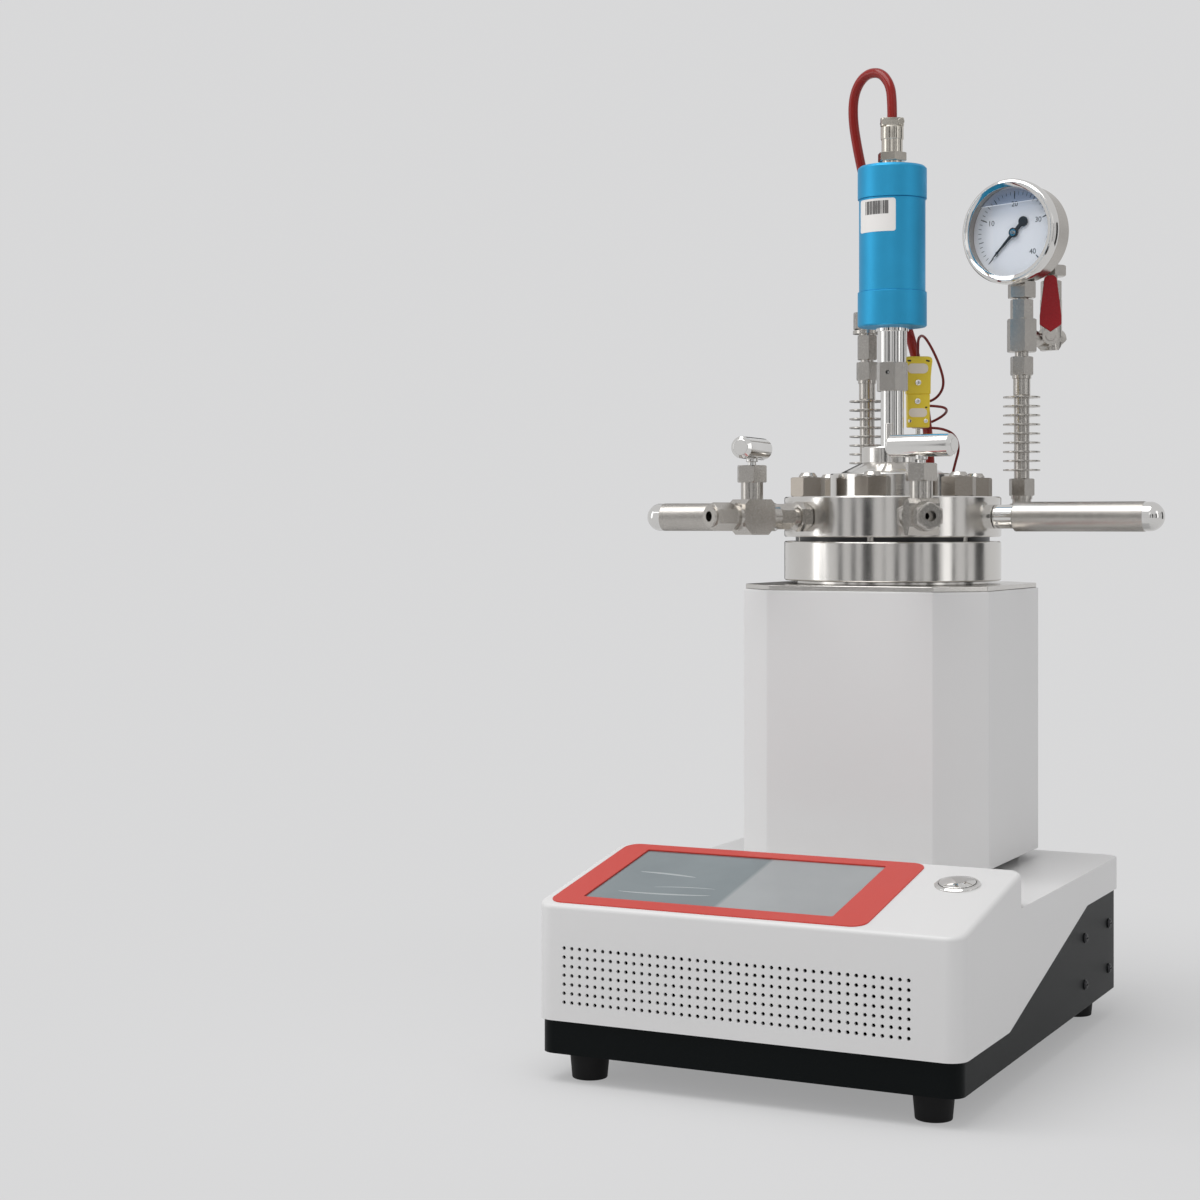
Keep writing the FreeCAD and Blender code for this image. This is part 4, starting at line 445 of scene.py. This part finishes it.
def grid_faces(rows, columns, round_columns=False):
    """The quads between the points of a grid, which may close on itself along its rows."""
    row, column = np.meshgrid(np.arange(rows - 1), np.arange(columns if round_columns else columns - 1),
                              indexing="ij")
    after = (column + 1) % columns
    low = row * columns
    high = low + columns
    return np.stack([low + column, low + after, high + after, high + column], -1).reshape(-1, 4)


def piece(name, grids, finish, slot, body="root", round_columns=False, sharp_degrees=35.0):
    """One object made of grids of points in millimetres about the vessel's axis, its doubled
    points joined, smooth but for its sharp edges, in its own finish."""
    points, faces, start = [], [], 0
    for grid in grids:
        points.append(grid.reshape(-1, 3))
        faces.append(grid_faces(grid.shape[0], grid.shape[1], round_columns) + start)
        start += len(points[-1])
    made = mesh_object(name, (np.concatenate(points) * MM + np.array([0, axis_y, 0])).tolist(),
                       np.concatenate(faces).tolist())
    shape = bmesh.new()
    shape.from_mesh(made.data)
    bmesh.ops.remove_doubles(shape, verts=shape.verts, dist=SAME_POINT / 10)
    shaded(shape, sharp_degrees)
    shape.to_mesh(made.data)
    shape.free()
    made.data.materials.append(finish)
    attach(made, body)
    return made


def on_slope(points):
    """Points given as right, up the slope and out of it, from the bezel's front left corner."""
    along, out = points[..., 1], points[..., 2]
    y = -BEZEL_FRONT + along * math.cos(SLOPE) - out * math.sin(SLOPE)
    z = BEZEL_Z + along * math.sin(SLOPE) + out * math.cos(SLOPE)
    return np.stack([BEZEL_X + points[..., 0], y, z], -1)


def crease(start, end, sag, width):
    """A shallow ridge along a bowed line on the glass, pointed at both ends."""
    share = np.linspace(0, 1, CREASE_STEPS)
    line = np.array(start) + share[:, None] * (np.array(end) - np.array(start))
    line[:, 1] += sag * 4 * share * (1 - share)
    across, height = np.array(CREASE_SECTION).T
    swell = np.sin(np.pi * share) ** 0.6
    x = np.broadcast_to(line[:, 0], (len(across), CREASE_STEPS))
    y = line[:, 1] + width * across[:, None] * swell
    z = height[:, None] * swell - FILM_DEPTH
    return on_slope(np.stack([x, y, z], -1))


film = powder_coat("film_crease", (0.42, 0.46, 0.47), 0.16, 600.0, 0.05, 0.04)
piece("screen_film_creases", [crease((32, 28), (90, 32), -1.5, 2.6), crease((30, 64), (68, 60.5), 1.0, 3.0),
                              crease((50, 39), (88, 43), 1.5, 1.4)], film, "screen")


# Power button. A domed cap of polished steel stands in a bevelled ring, and a nut holds both
# from below.
polished_steel = plain_metal("polished_steel", (0.80, 0.79, 0.77), 0.05, 0.10, 0.02)
finished("power_button_ring", polished_steel, 0.2)
finished("power_button_cap", polished_steel, 0.25, "power_button")


# Heater tower. An octagonal jacket folded from sheet and powder-coated white stands on a dark
# recessed plinth. Mineral wool and the heating block fill it, and a steel plate closes it.
grey_coat = powder_coat("grey_powder_coat", (0.11, 0.112, 0.115), 0.5, 2000.0, 0.25, 0.15)
wool = powder_coat("mineral_wool", (0.74, 0.70, 0.60), 0.95, 500.0, 1.0, 0.3)
finished("heater_plinth", grey_coat, 0.5)
finished("heater_shell", white_coat, 0.7)
finished("insulation_sleeve", wool, 0.5)
block_metal = plain_metal("machined_aluminium", (0.70, 0.70, 0.71), 0.25, 0.4, 0.05, (400.0, 400.0, 400.0))
finished("heating_block", block_metal, 0.4)
brushed_plate = plain_metal("brushed_plate", (0.70, 0.68, 0.65), 0.16, 0.30, 0.15, (40.0, 2600.0, 2600.0))
finished("heater_top_plate", brushed_plate, 0.5)


# Vessel. One steel forging with a thick flange hangs in the block. A graphite ring seals it,
# and six studs with heavy nuts clamp the lid, whose raised boss and cone carry the drive.
def turned_metal(name, colour, low, high):
    """Metal turned about the vessel's axis: fine rings run round its faces and its walls."""
    made, shader = new_material(name)
    shader.inputs["Metallic"].default_value = 1.0
    place, cloud = clouded(made, colour, 0.90, 35.0, 3.0)
    from_axis = add(made, "Mapping", {"Vector": place, "Location": (0.0, -axis_y, 0.0)}).outputs[0]
    parts = add(made, "SeparateXYZ", {0: from_axis}).outputs
    flat = add(made, "CombineXYZ", {0: parts["X"], 1: parts["Y"]}).outputs[0]
    radius = add(made, "VectorMath", {0: flat}, operation="LENGTH").outputs["Value"]
    ring = add(made, "CombineXYZ", {0: radius, 2: parts["Z"]}).outputs[0]
    lines = add(made, "TexNoise", {"Vector": ring, "Scale": 2600.0, "Detail": 3.0}).outputs["Fac"]
    wear = add(made, "Math", {0: lines, 1: cloud}, operation="ADD").outputs[0]
    uneven_shine(made, wear, low, high, 0.6, 1.4)
    raised(made, lines, 0.12, 0.00006)
    return made


turned_steel = turned_metal("turned_steel", (0.72, 0.70, 0.67), 0.10, 0.24)
satin_steel = plain_metal("satin_steel", (0.55, 0.525, 0.49), 0.18, 0.30, 0.06)
nut_steel = plain_metal("nut_steel", (0.37, 0.335, 0.295), 0.24, 0.36, 0.08)
graphite = powder_coat("graphite", (0.015, 0.015, 0.016), 0.35, 900.0, 0.2, 0.3)
finished("vessel", turned_steel, 0.3)
finished("lid_gasket", graphite, 0.2)
finished("lid", turned_steel, 0.3)
finished("lid_studs", satin_steel, 0.2)
finished("lid_nuts", nut_steel, 0.35)


# Handles. Each is turned from one bar of stainless steel: a polished neck at the lid's rim, a
# long knurled grip and a domed end.
PORT_Z = 327.8
GRIP = (83.4, 167.2)
GRIP_RADIUS = 9.22
GRIP_SINK = 0.4
HANDLE_AZIMUTH = {"left_handle": 178.2, "right_handle": -1.8}
KNURL_DEPTH, KNURLS_AROUND, KNURL_PITCH = 0.30, 50, 1.25


def facing(points, azimuth, origin):
    """Points given as right, up and out, turned so that out points along the azimuth."""
    a = math.radians(azimuth)
    axes = np.array([[-math.sin(a), math.cos(a), 0], [0, 0, 1], [math.cos(a), math.sin(a), 0]])
    return points @ axes + np.array(origin)


def knurled(start, end, radius):
    """A knurled tube along the out axis. Two families of helical ridges cross: each rises as
    1 - |2 frac(t) - 1| with t = around * turn +- along / pitch. The surface takes the lower of
    the two, so that rows of four-sided pyramids stand up from it."""
    rows = int((end - start) / KNURL_PITCH * 4)
    along = np.linspace(0, end - start, rows)[:, None]
    turn = np.arange(KNURLS_AROUND * 4)[None, :] / (KNURLS_AROUND * 4)
    ridges = [1 - np.abs(2 * np.mod(KNURLS_AROUND * turn + sign * along / KNURL_PITCH, 1) - 1)
              for sign in (1, -1)]
    reach = radius + KNURL_DEPTH * np.minimum(*ridges)
    reach[[0, -1]] = radius - GRIP_SINK
    angle = 2 * np.pi * turn
    height = np.broadcast_to(start + along, reach.shape)
    return np.stack([reach * np.cos(angle), reach * np.sin(angle), height], -1)


for node, azimuth in HANDLE_AZIMUTH.items():
    finished(node, polished_steel, 0.3)
    piece(node + "_knurling", [facing(knurled(*GRIP, GRIP_RADIUS), azimuth, (0, 0, PORT_Z))], satin_steel,
          "satin_steel", round_columns=True, sharp_degrees=80)


# Stirring drive. A polished base and tube carry a clamp collar with its screws, and a sleeve.
# On them stands the blue anodised motor between two end caps, with its socket and plug on top.
blue = plain_metal("blue_anodised", (0.045, 0.38, 0.66), 0.44, 0.52, 0.05, (300.0, 300.0, 4200.0))
finished("drive_base", turned_steel, 0.3)
finished("drive_tube", polished_steel, 0.2)
finished("clamp_collar", satin_steel, 0.3)
finished("drive_sleeve", polished_steel, 0.2)
finished("motor_housing", blue, 0.3)
finished("motor_caps", blue, 0.8)
plug_nickel = plain_metal("plug_nickel", (0.66, 0.62, 0.55), 0.10, 0.18, 0.03)
finished("motor_socket", plug_nickel, 0.25)
finished("cable_plug", plug_nickel, 0.25)


def plate(width, height, corner, low, high, columns, rows):
    """A thin plate with rounded corners, as a grid: at share v of its height each row is as wide
    as the corner's arc leaves it, and the outermost ring of points turns down from high to low."""
    corner = min(corner, width / 2, height / 2)
    v = np.sin(np.linspace(-0.5, 0.5, rows) * np.pi)
    y = v * height / 2
    into_arc = np.clip(np.abs(y) - (height / 2 - corner), 0, corner)
    half = width / 2 - corner + np.sqrt(corner ** 2 - into_arc ** 2)
    u = np.sin(np.linspace(-0.5, 0.5, columns) * np.pi)
    top = np.stack([half[:, None] * u, np.broadcast_to(y[:, None], (rows, columns)),
                    np.full((rows, columns), high)], -1)
    ring = np.pad(top, ((1, 1), (1, 1), (0, 0)), mode="edge")
    ring[[0, -1], :, 2] = low
    ring[:, [0, -1], 2] = low
    return ring


def turned_form(profile, columns):
    """A surface of revolution: its profile's (radius, height) points carried round the out axis."""
    radius, height = np.array(profile, dtype=float).T
    angle = np.linspace(0, 2 * np.pi, columns, endpoint=False)
    return np.stack([radius[:, None] * np.cos(angle), radius[:, None] * np.sin(angle),
                     np.broadcast_to(height[:, None], (len(radius), columns))], -1)


def shifted(points, right=0.0, up=0.0, out=0.0, spin=0.0):
    """A grid spun about the out axis and moved in its own frame."""
    turn = math.radians(spin)
    cos, sin = math.cos(turn), math.sin(turn)
    spinning = np.array([[cos, sin, 0], [-sin, cos, 0], [0, 0, 1]])
    return points @ spinning + np.array([right, up, out])


def wrapped(points, azimuth, radius, height):
    """A flat plate bent round the vessel's axis at a radius, its middle at an azimuth."""
    angle = math.radians(azimuth) + points[..., 0] / radius
    reach = radius + points[..., 2]
    return np.stack([reach * np.cos(angle), reach * np.sin(angle), height + points[..., 1]], -1)


# The label's azimuth, radius and height, its width, height and corner, and where its bars stand
# as shares of their row.
LABEL = (-102.7, 21.6, 523.2)
LABEL_SIZE = (28.6, 21.4, 1.6)
LABEL_BARS = (0.0, 0.09, 0.15, 0.24, 0.29, 0.40, 0.46, 0.52, 0.62, 0.71, 0.80, 0.90, 0.97)
BARS_LEFT, BARS_WIDTH, BARS_UP, BAR_HEIGHT = -7.4, 17.2, 4.9, 8.6
PAPER_TOP, INK_TOP = 0.12, 0.17
paper = powder_coat("label_paper", (0.83, 0.81, 0.79), 0.55, 900.0, 0.06, 0.03)
bar_ink = powder_coat("label_ink", (0.16, 0.155, 0.15), 0.5, 900.0, 0.02, 0.3)
piece("motor_label", [wrapped(plate(*LABEL_SIZE, -0.2, PAPER_TOP, 40, 16), *LABEL)], paper, "dial_face")
bars = [shifted(plate(0.7 + 0.6 * (k % 3), BAR_HEIGHT, 0.05, 0.05, INK_TOP, 4, 3),
                BARS_LEFT + BARS_WIDTH * share, BARS_UP)
        for k, share in enumerate(LABEL_BARS)]
piece("motor_label_bars", [wrapped(bar, *LABEL) for bar in bars], bar_ink, "dial_black")

COLLAR_Z = 422.1
SET_SCREW_AZIMUTHS = (30, 150, 270)
SET_SCREW = ((0, 6.8), (1.25, 6.8), (1.25, 8.75), (1.05, 8.95), (0.72, 8.9), (0.66, 7.9), (0, 7.8))
set_screws = [facing(turned_form(SET_SCREW, 24), azimuth, (0, 0, COLLAR_Z))
              for azimuth in SET_SCREW_AZIMUTHS]
piece("collar_set_screws", set_screws, dark_steel, "satin_steel", round_columns=True)
finished("stirrer_shaft", polished_steel, 0.2, "stirrer")
finished("stirrer_impeller", satin_steel, 0.3, "stirrer")


# Needle valves. Forged bodies with a satin finish, bonnets with gland hexagons, nuts for the
# tubes, and polished cross bars on their stems.
finished("port_adapters", satin_steel, 0.25)
finished("valve_bodies", satin_steel, 0.5)
finished("valve_bonnets", satin_steel, 0.25)
finished("valve_nuts", satin_steel, 0.25)
finished("left_valve_handle", polished_steel, 0.3, "left_t_handle")
finished("front_valve_handle", polished_steel, 0.3, "front_t_handle")


# Cooling stacks. Elbows, compression nuts and tubes with thin turned fins keep the heat away
# from the gauge and from the relief head.
for node in ("port_elbows", "stack_nuts", "gauge_finned_tube", "relief_finned_tube", "tee_fitting",
             "relief_head", "vent_valve_body", "vent_outlet"):
    finished(node, satin_steel, 0.2)
finished("vent_lever", satin_steel, 0.2, "lever")
vinyl = powder_coat("red_vinyl", (0.36, 0.008, 0.014), 0.28, 300.0, 0.1, 0.1, 0.3)
finished("lever_sleeve", vinyl, 0.5, "lever")


# Gauge. A pressed steel case filled with glycerine, a crimped polished ring, a clear window, a
# printed dial and a thin black pointer.
print_ground = powder_coat("dial_ground", (0.93, 0.94, 0.96), 0.5, 700.0, 0.02, 0.03)
print_black = powder_coat("dial_black", (0.012, 0.012, 0.013), 0.5, 900.0, 0.05, 0.2)
finished("gauge_case", satin_steel, 0.4)
finished("gauge_ring", polished_steel, 0.3)
finished("gauge_dial", print_ground, 0.1)
finished("gauge_pointer", print_black, 0.05, "pointer")

GAUGE_AZIMUTH = -103.0
GAUGE_REACH, GAUGE_STATION = 112.5, math.radians(58.2)
GAUGE_AT = (GAUGE_REACH * math.cos(GAUGE_STATION), GAUGE_REACH * math.sin(GAUGE_STATION), 520.5)
DIAL_FACE = 9.8
TICK_OUTER = 28.2
# The length and width of the scale's long, middle and short lines.
MAJOR, MIDDLE, MINOR = (5.2, 0.80), (3.8, 0.60), (2.6, 0.42)
ZERO_ANGLE, SWEEP, TICKS = 225.0, 270.0, 40


def tick(number):
    """One printed line of the scale, along its own radius."""
    length, width = MAJOR if number % 10 == 0 else MIDDLE if number % 5 == 0 else MINOR
    angle = ZERO_ANGLE - SWEEP * number / TICKS
    along = math.radians(angle)
    middle = TICK_OUTER - length / 2
    mark = plate(width, length, 0.1, DIAL_FACE - 0.1, DIAL_FACE + 0.06, 3, 3)
    return shifted(mark, middle * math.cos(along), middle * math.sin(along), 0, angle - 90)


def on_gauge(points):
    """Points given as right, up and out of the dial, moved to the gauge."""
    return facing(points, GAUGE_AZIMUTH, GAUGE_AT)


print_grey = powder_coat("dial_grey", (0.10, 0.105, 0.115), 0.5, 900.0, 0.03, 0.2)
piece("dial_major_ticks", [on_gauge(tick(k)) for k in range(0, TICKS + 1, 10)], print_black, "dial_black")
piece("dial_minor_ticks", [on_gauge(tick(k)) for k in range(TICKS + 1) if k % 10], print_grey, "dial_black")

NUMBER_RADIUS = 19.4
NUMBER_SIZE = 5.0
NUMBER_THICKNESS = 0.03
for number in range(5):
    words = bpy.data.curves.new("number", "FONT")
    words.body = str(10 * number)
    words.size = NUMBER_SIZE
    words.extrude = NUMBER_THICKNESS
    words.align_x = "CENTER"
    words.align_y = "CENTER"
    carrier = bpy.data.objects.new("number", words)
    flat = bpy.data.meshes.new_from_object(carrier)
    outline = np.array([vertex.co for vertex in flat.vertices])
    angle = math.radians(ZERO_ANGLE - SWEEP * number / 4)
    outline = shifted(outline, NUMBER_RADIUS * math.cos(angle), NUMBER_RADIUS * math.sin(angle),
                      DIAL_FACE + 0.02)
    in_metres = on_gauge(outline) * MM + np.array([0, axis_y, 0])
    printed = mesh_object(f"dial_number_{10 * number}", in_metres.tolist(),
                          [list(face.vertices) for face in flat.polygons])
    printed.data.materials.append(print_black)
    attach(printed, "root")
    bpy.data.objects.remove(carrier)

HUB_RING = ((1.35, 12.30), (2.35, 12.30), (2.35, 12.60), (1.35, 12.60), (1.35, 12.30))
piece("pointer_hub_ring", [on_gauge(turned_form(HUB_RING, 48))], polished_steel, "polished_steel",
      "pointer", round_columns=True)


def clear_glass():
    """Window glass with the faint blue-grey of the glycerine behind it. Its inner faces don't
    mirror, because there the Fresnel node takes light to be leaving glass and turns it all back."""
    made = bare_material("gauge_glass")
    place = add(made, "TexCoord").outputs["Object"]
    haze = add(made, "TexNoise", {"Vector": place, "Scale": 40.0, "Detail": 2.0}).outputs["Fac"]
    gloss = add(made, "MapRange", {0: haze, 3: 0.02, 4: 0.06}).outputs[0]
    wavy = add(made, "Bump", {"Height": haze, "Strength": 0.02, "Distance": 0.0002}).outputs[0]
    mirror = add(made, "BsdfGlossy", {"Color": (1, 1, 1, 1), "Roughness": gloss, "Normal": wavy}).outputs[0]
    through = add(made, "BsdfTransparent", {"Color": (0.985, 0.99, 1.0, 1)}).outputs[0]
    inner = add(made, "NewGeometry").outputs["Backfacing"]
    outer = add(made, "Math", {0: 1.0, 1: inner}, operation="SUBTRACT").outputs[0]
    bounce = add(made, "Fresnel", {"IOR": 1.45}).outputs[0]
    edge = add(made, "Math", {0: bounce, 1: outer}, operation="MULTIPLY").outputs[0]
    both = add(made, "MixShader", {0: edge, 1: through, 2: mirror}).outputs[0]
    add(made, "OutputMaterial", {0: both})
    return made


finished("gauge_window", clear_glass(), 0.1)


def tinted_air():
    """The air space over the glycerine, which looks bluer than the liquid below it."""
    made = bare_material("gauge_air_space")
    place = add(made, "TexCoord").outputs["Object"]
    cloud = add(made, "TexNoise", {"Vector": place, "Scale": 60.0, "Detail": 2.0}).outputs["Fac"]
    tint = add(made, "Mix", {"Factor": cloud, "A": (0.60, 0.66, 0.77, 1), "B": (0.68, 0.74, 0.84, 1)},
               data_type="RGBA").outputs["Result"]
    clear = add(made, "BsdfTransparent", {"Color": tint}).outputs[0]
    add(made, "OutputMaterial", {0: clear})
    return made


LIQUID_LEVEL = 19.2
LIQUID_TILT = 2.5
AIR_RADIUS = 29.4
AIR_OUT = 16.3
AIR_GRID = (14, 32)
level = np.linspace(LIQUID_LEVEL, AIR_RADIUS - 0.05, AIR_GRID[0])[:, None]
share = np.linspace(-1, 1, AIR_GRID[1])[None, :]
air = np.stack([share * np.sqrt(AIR_RADIUS ** 2 - level ** 2), np.broadcast_to(level, AIR_GRID),
                np.full(AIR_GRID, AIR_OUT)], -1)
piece("gauge_air_space", [on_gauge(shifted(air, spin=LIQUID_TILT))], tinted_air(), "clear_glass")
meniscus = powder_coat("meniscus", (0.86, 0.88, 0.90), 0.12, 500.0, 0.02, 0.02)
line = shifted(plate(44.0, 0.45, 0.2, AIR_OUT - 0.2, AIR_OUT + 0.05, 24, 3), 0, LIQUID_LEVEL, 0, LIQUID_TILT)
piece("gauge_liquid_line", [on_gauge(line)], meniscus, "clear_glass")


# Thermocouple. A steel sheath through the lid's cone, and a pair of flat yellow connectors
# moulded in glass-filled plastic, plugged together.
yellow = powder_coat("yellow_plastic", (0.80, 0.60, 0.035), 0.42, 1300.0, 0.12, 0.08)
finished("probe_sheath", satin_steel, 0.2)
PROBE_AT = (9.6, 23.8, 0.0)
PROBE_AZIMUTH = -63.4
# Each level of a connector's shell: its height, half its width and half its thickness.
SOCKET_LEVELS = ((387.0, 6.7, 3.4), (387.15, 7.1, 3.8), (387.6, 7.3, 4.0),
                 (408.4, 7.5, 4.0), (408.8, 7.3, 3.8), (409.0, 7.0, 3.5))
PLUG_LEVELS = ((409.0, 7.5, 3.5), (409.2, 7.8, 3.8), (409.6, 8.0, 4.0), (420.0, 8.1, 4.0),
               (427.0, 8.7, 4.0), (430.5, 9.2, 4.0), (432.0, 9.1, 4.0), (433.2, 8.5, 3.9),
               (433.8, 7.4, 3.5), (434.0, 6.0, 3.0))
SHELL_CORNER, CORNER_STEPS = 1.1, 8


def moulded(levels):
    """A moulded body: at each level its section is a rectangle with rounded corners, and the
    sections at both ends are drawn together to their middle."""
    quarter = np.linspace(0, np.pi / 2, CORNER_STEPS)
    angle = np.concatenate([quarter + k * np.pi / 2 for k in range(4)])
    sign_x = np.repeat([1, -1, -1, 1], CORNER_STEPS)
    sign_y = np.repeat([1, 1, -1, -1], CORNER_STEPS)
    rows = [(*levels[0], 0.0)] + [(*level, 1.0) for level in levels] + [(*levels[-1], 0.0)]
    height, half_x, half_y, open_by = (column[:, None] for column in np.array(rows).T)
    x = (sign_x * (half_x - SHELL_CORNER) + SHELL_CORNER * np.cos(angle)) * open_by
    y = (sign_y * (half_y - SHELL_CORNER) + SHELL_CORNER * np.sin(angle)) * open_by
    return np.stack([x, y, np.broadcast_to(height, x.shape)], -1)


def turned_to_probe(points):
    """Sections over (right, in, up) turned so that their flat side faces as the connectors do."""
    swapped = np.stack([points[..., 0], points[..., 2], -points[..., 1]], -1)
    return facing(swapped, PROBE_AZIMUTH, PROBE_AT)


for node, levels in (("probe_socket", SOCKET_LEVELS), ("probe_plug", PLUG_LEVELS)):
    shell = piece(node + "_shell", [turned_to_probe(moulded(levels))], yellow, "yellow_plastic",
                  round_columns=True)
    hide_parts(node)

# Each label: right, up, width, height and corner. Each screw: right, up and size. Each slot:
# right, up, width, height and spin.
LABEL_PLATES = ((-0.6, 425.9, 13.6, 6.6, 3.0), (-0.6, 396.7, 12.0, 5.8, 2.6))
LABEL_DEPTHS, SLOT_DEPTHS = (3.8, 4.12), (3.9, 4.05)
beige = powder_coat("label_insert", (0.78, 0.70, 0.60), 0.40, 800.0, 0.05, 0.06)
inserts = [facing(shifted(plate(width, height, corner, *LABEL_DEPTHS, 20, 12), right, up), azimuth, PROBE_AT)
           for right, up, width, height, corner in LABEL_PLATES
           for azimuth in (PROBE_AZIMUTH, PROBE_AZIMUTH + 180)]
piece("connector_labels", inserts, beige, "yellow_plastic")
SCREW_HEAD = ((0, 3.7), (1.0, 3.7), (1.0, 4.5), (0.85, 4.65), (0.3, 4.68), (0.22, 4.3), (0, 4.25))
CONNECTOR_SCREWS = ((-0.4, 416.6, 1.9), (-0.8, 404.2, 1.9), (4.6, 391.2, 1.35), (-6.0, 391.2, 1.1))
heads = []
for right, up, width in CONNECTOR_SCREWS:
    head = turned_form([(radius * width, height) for radius, height in SCREW_HEAD], 32)
    heads.append(facing(shifted(head, right, up), PROBE_AZIMUTH, PROBE_AT))
piece("connector_screws", heads, polished_steel, "satin_steel", round_columns=True)
CONNECTOR_SLOTS = ((-6.2, 431.0, 2.4, 1.1, 0), (6.0, 430.9, 2.6, 1.1, -14), (4.9, 400.2, 1.5, 1.0, 0))
piece("connector_slots", [facing(shifted(plate(width, height, 0.3, *SLOT_DEPTHS, 5, 5), right, up, 0, spin),
                                 PROBE_AZIMUTH, PROBE_AT)
                          for right, up, width, height, spin in CONNECTOR_SLOTS], print_black, "dial_black")


# Inlet pins. Three brass blades stand in the mains inlet's well. Their nickel plating is a skin
# that lies just over the solid blades.
INLET_AT = (62.0, 87.2, 50.0)
INLET_PINS = ((-7.0, -4.2), (7.0, -4.2), (0.0, -0.2))
# The skin's width, height and corner, and its root and tip.
PIN_SKIN = (2.06, 4.06, 0.4, -16.9, -2.9)
nickel = plain_metal("nickel_plate", (0.72, 0.68, 0.60), 0.16, 0.26, 0.03)
piece("inlet_pins", [facing(shifted(plate(*PIN_SKIN, 6, 6), -right, up), 90, INLET_AT)
                     for right, up in INLET_PINS], nickel, "satin_steel")
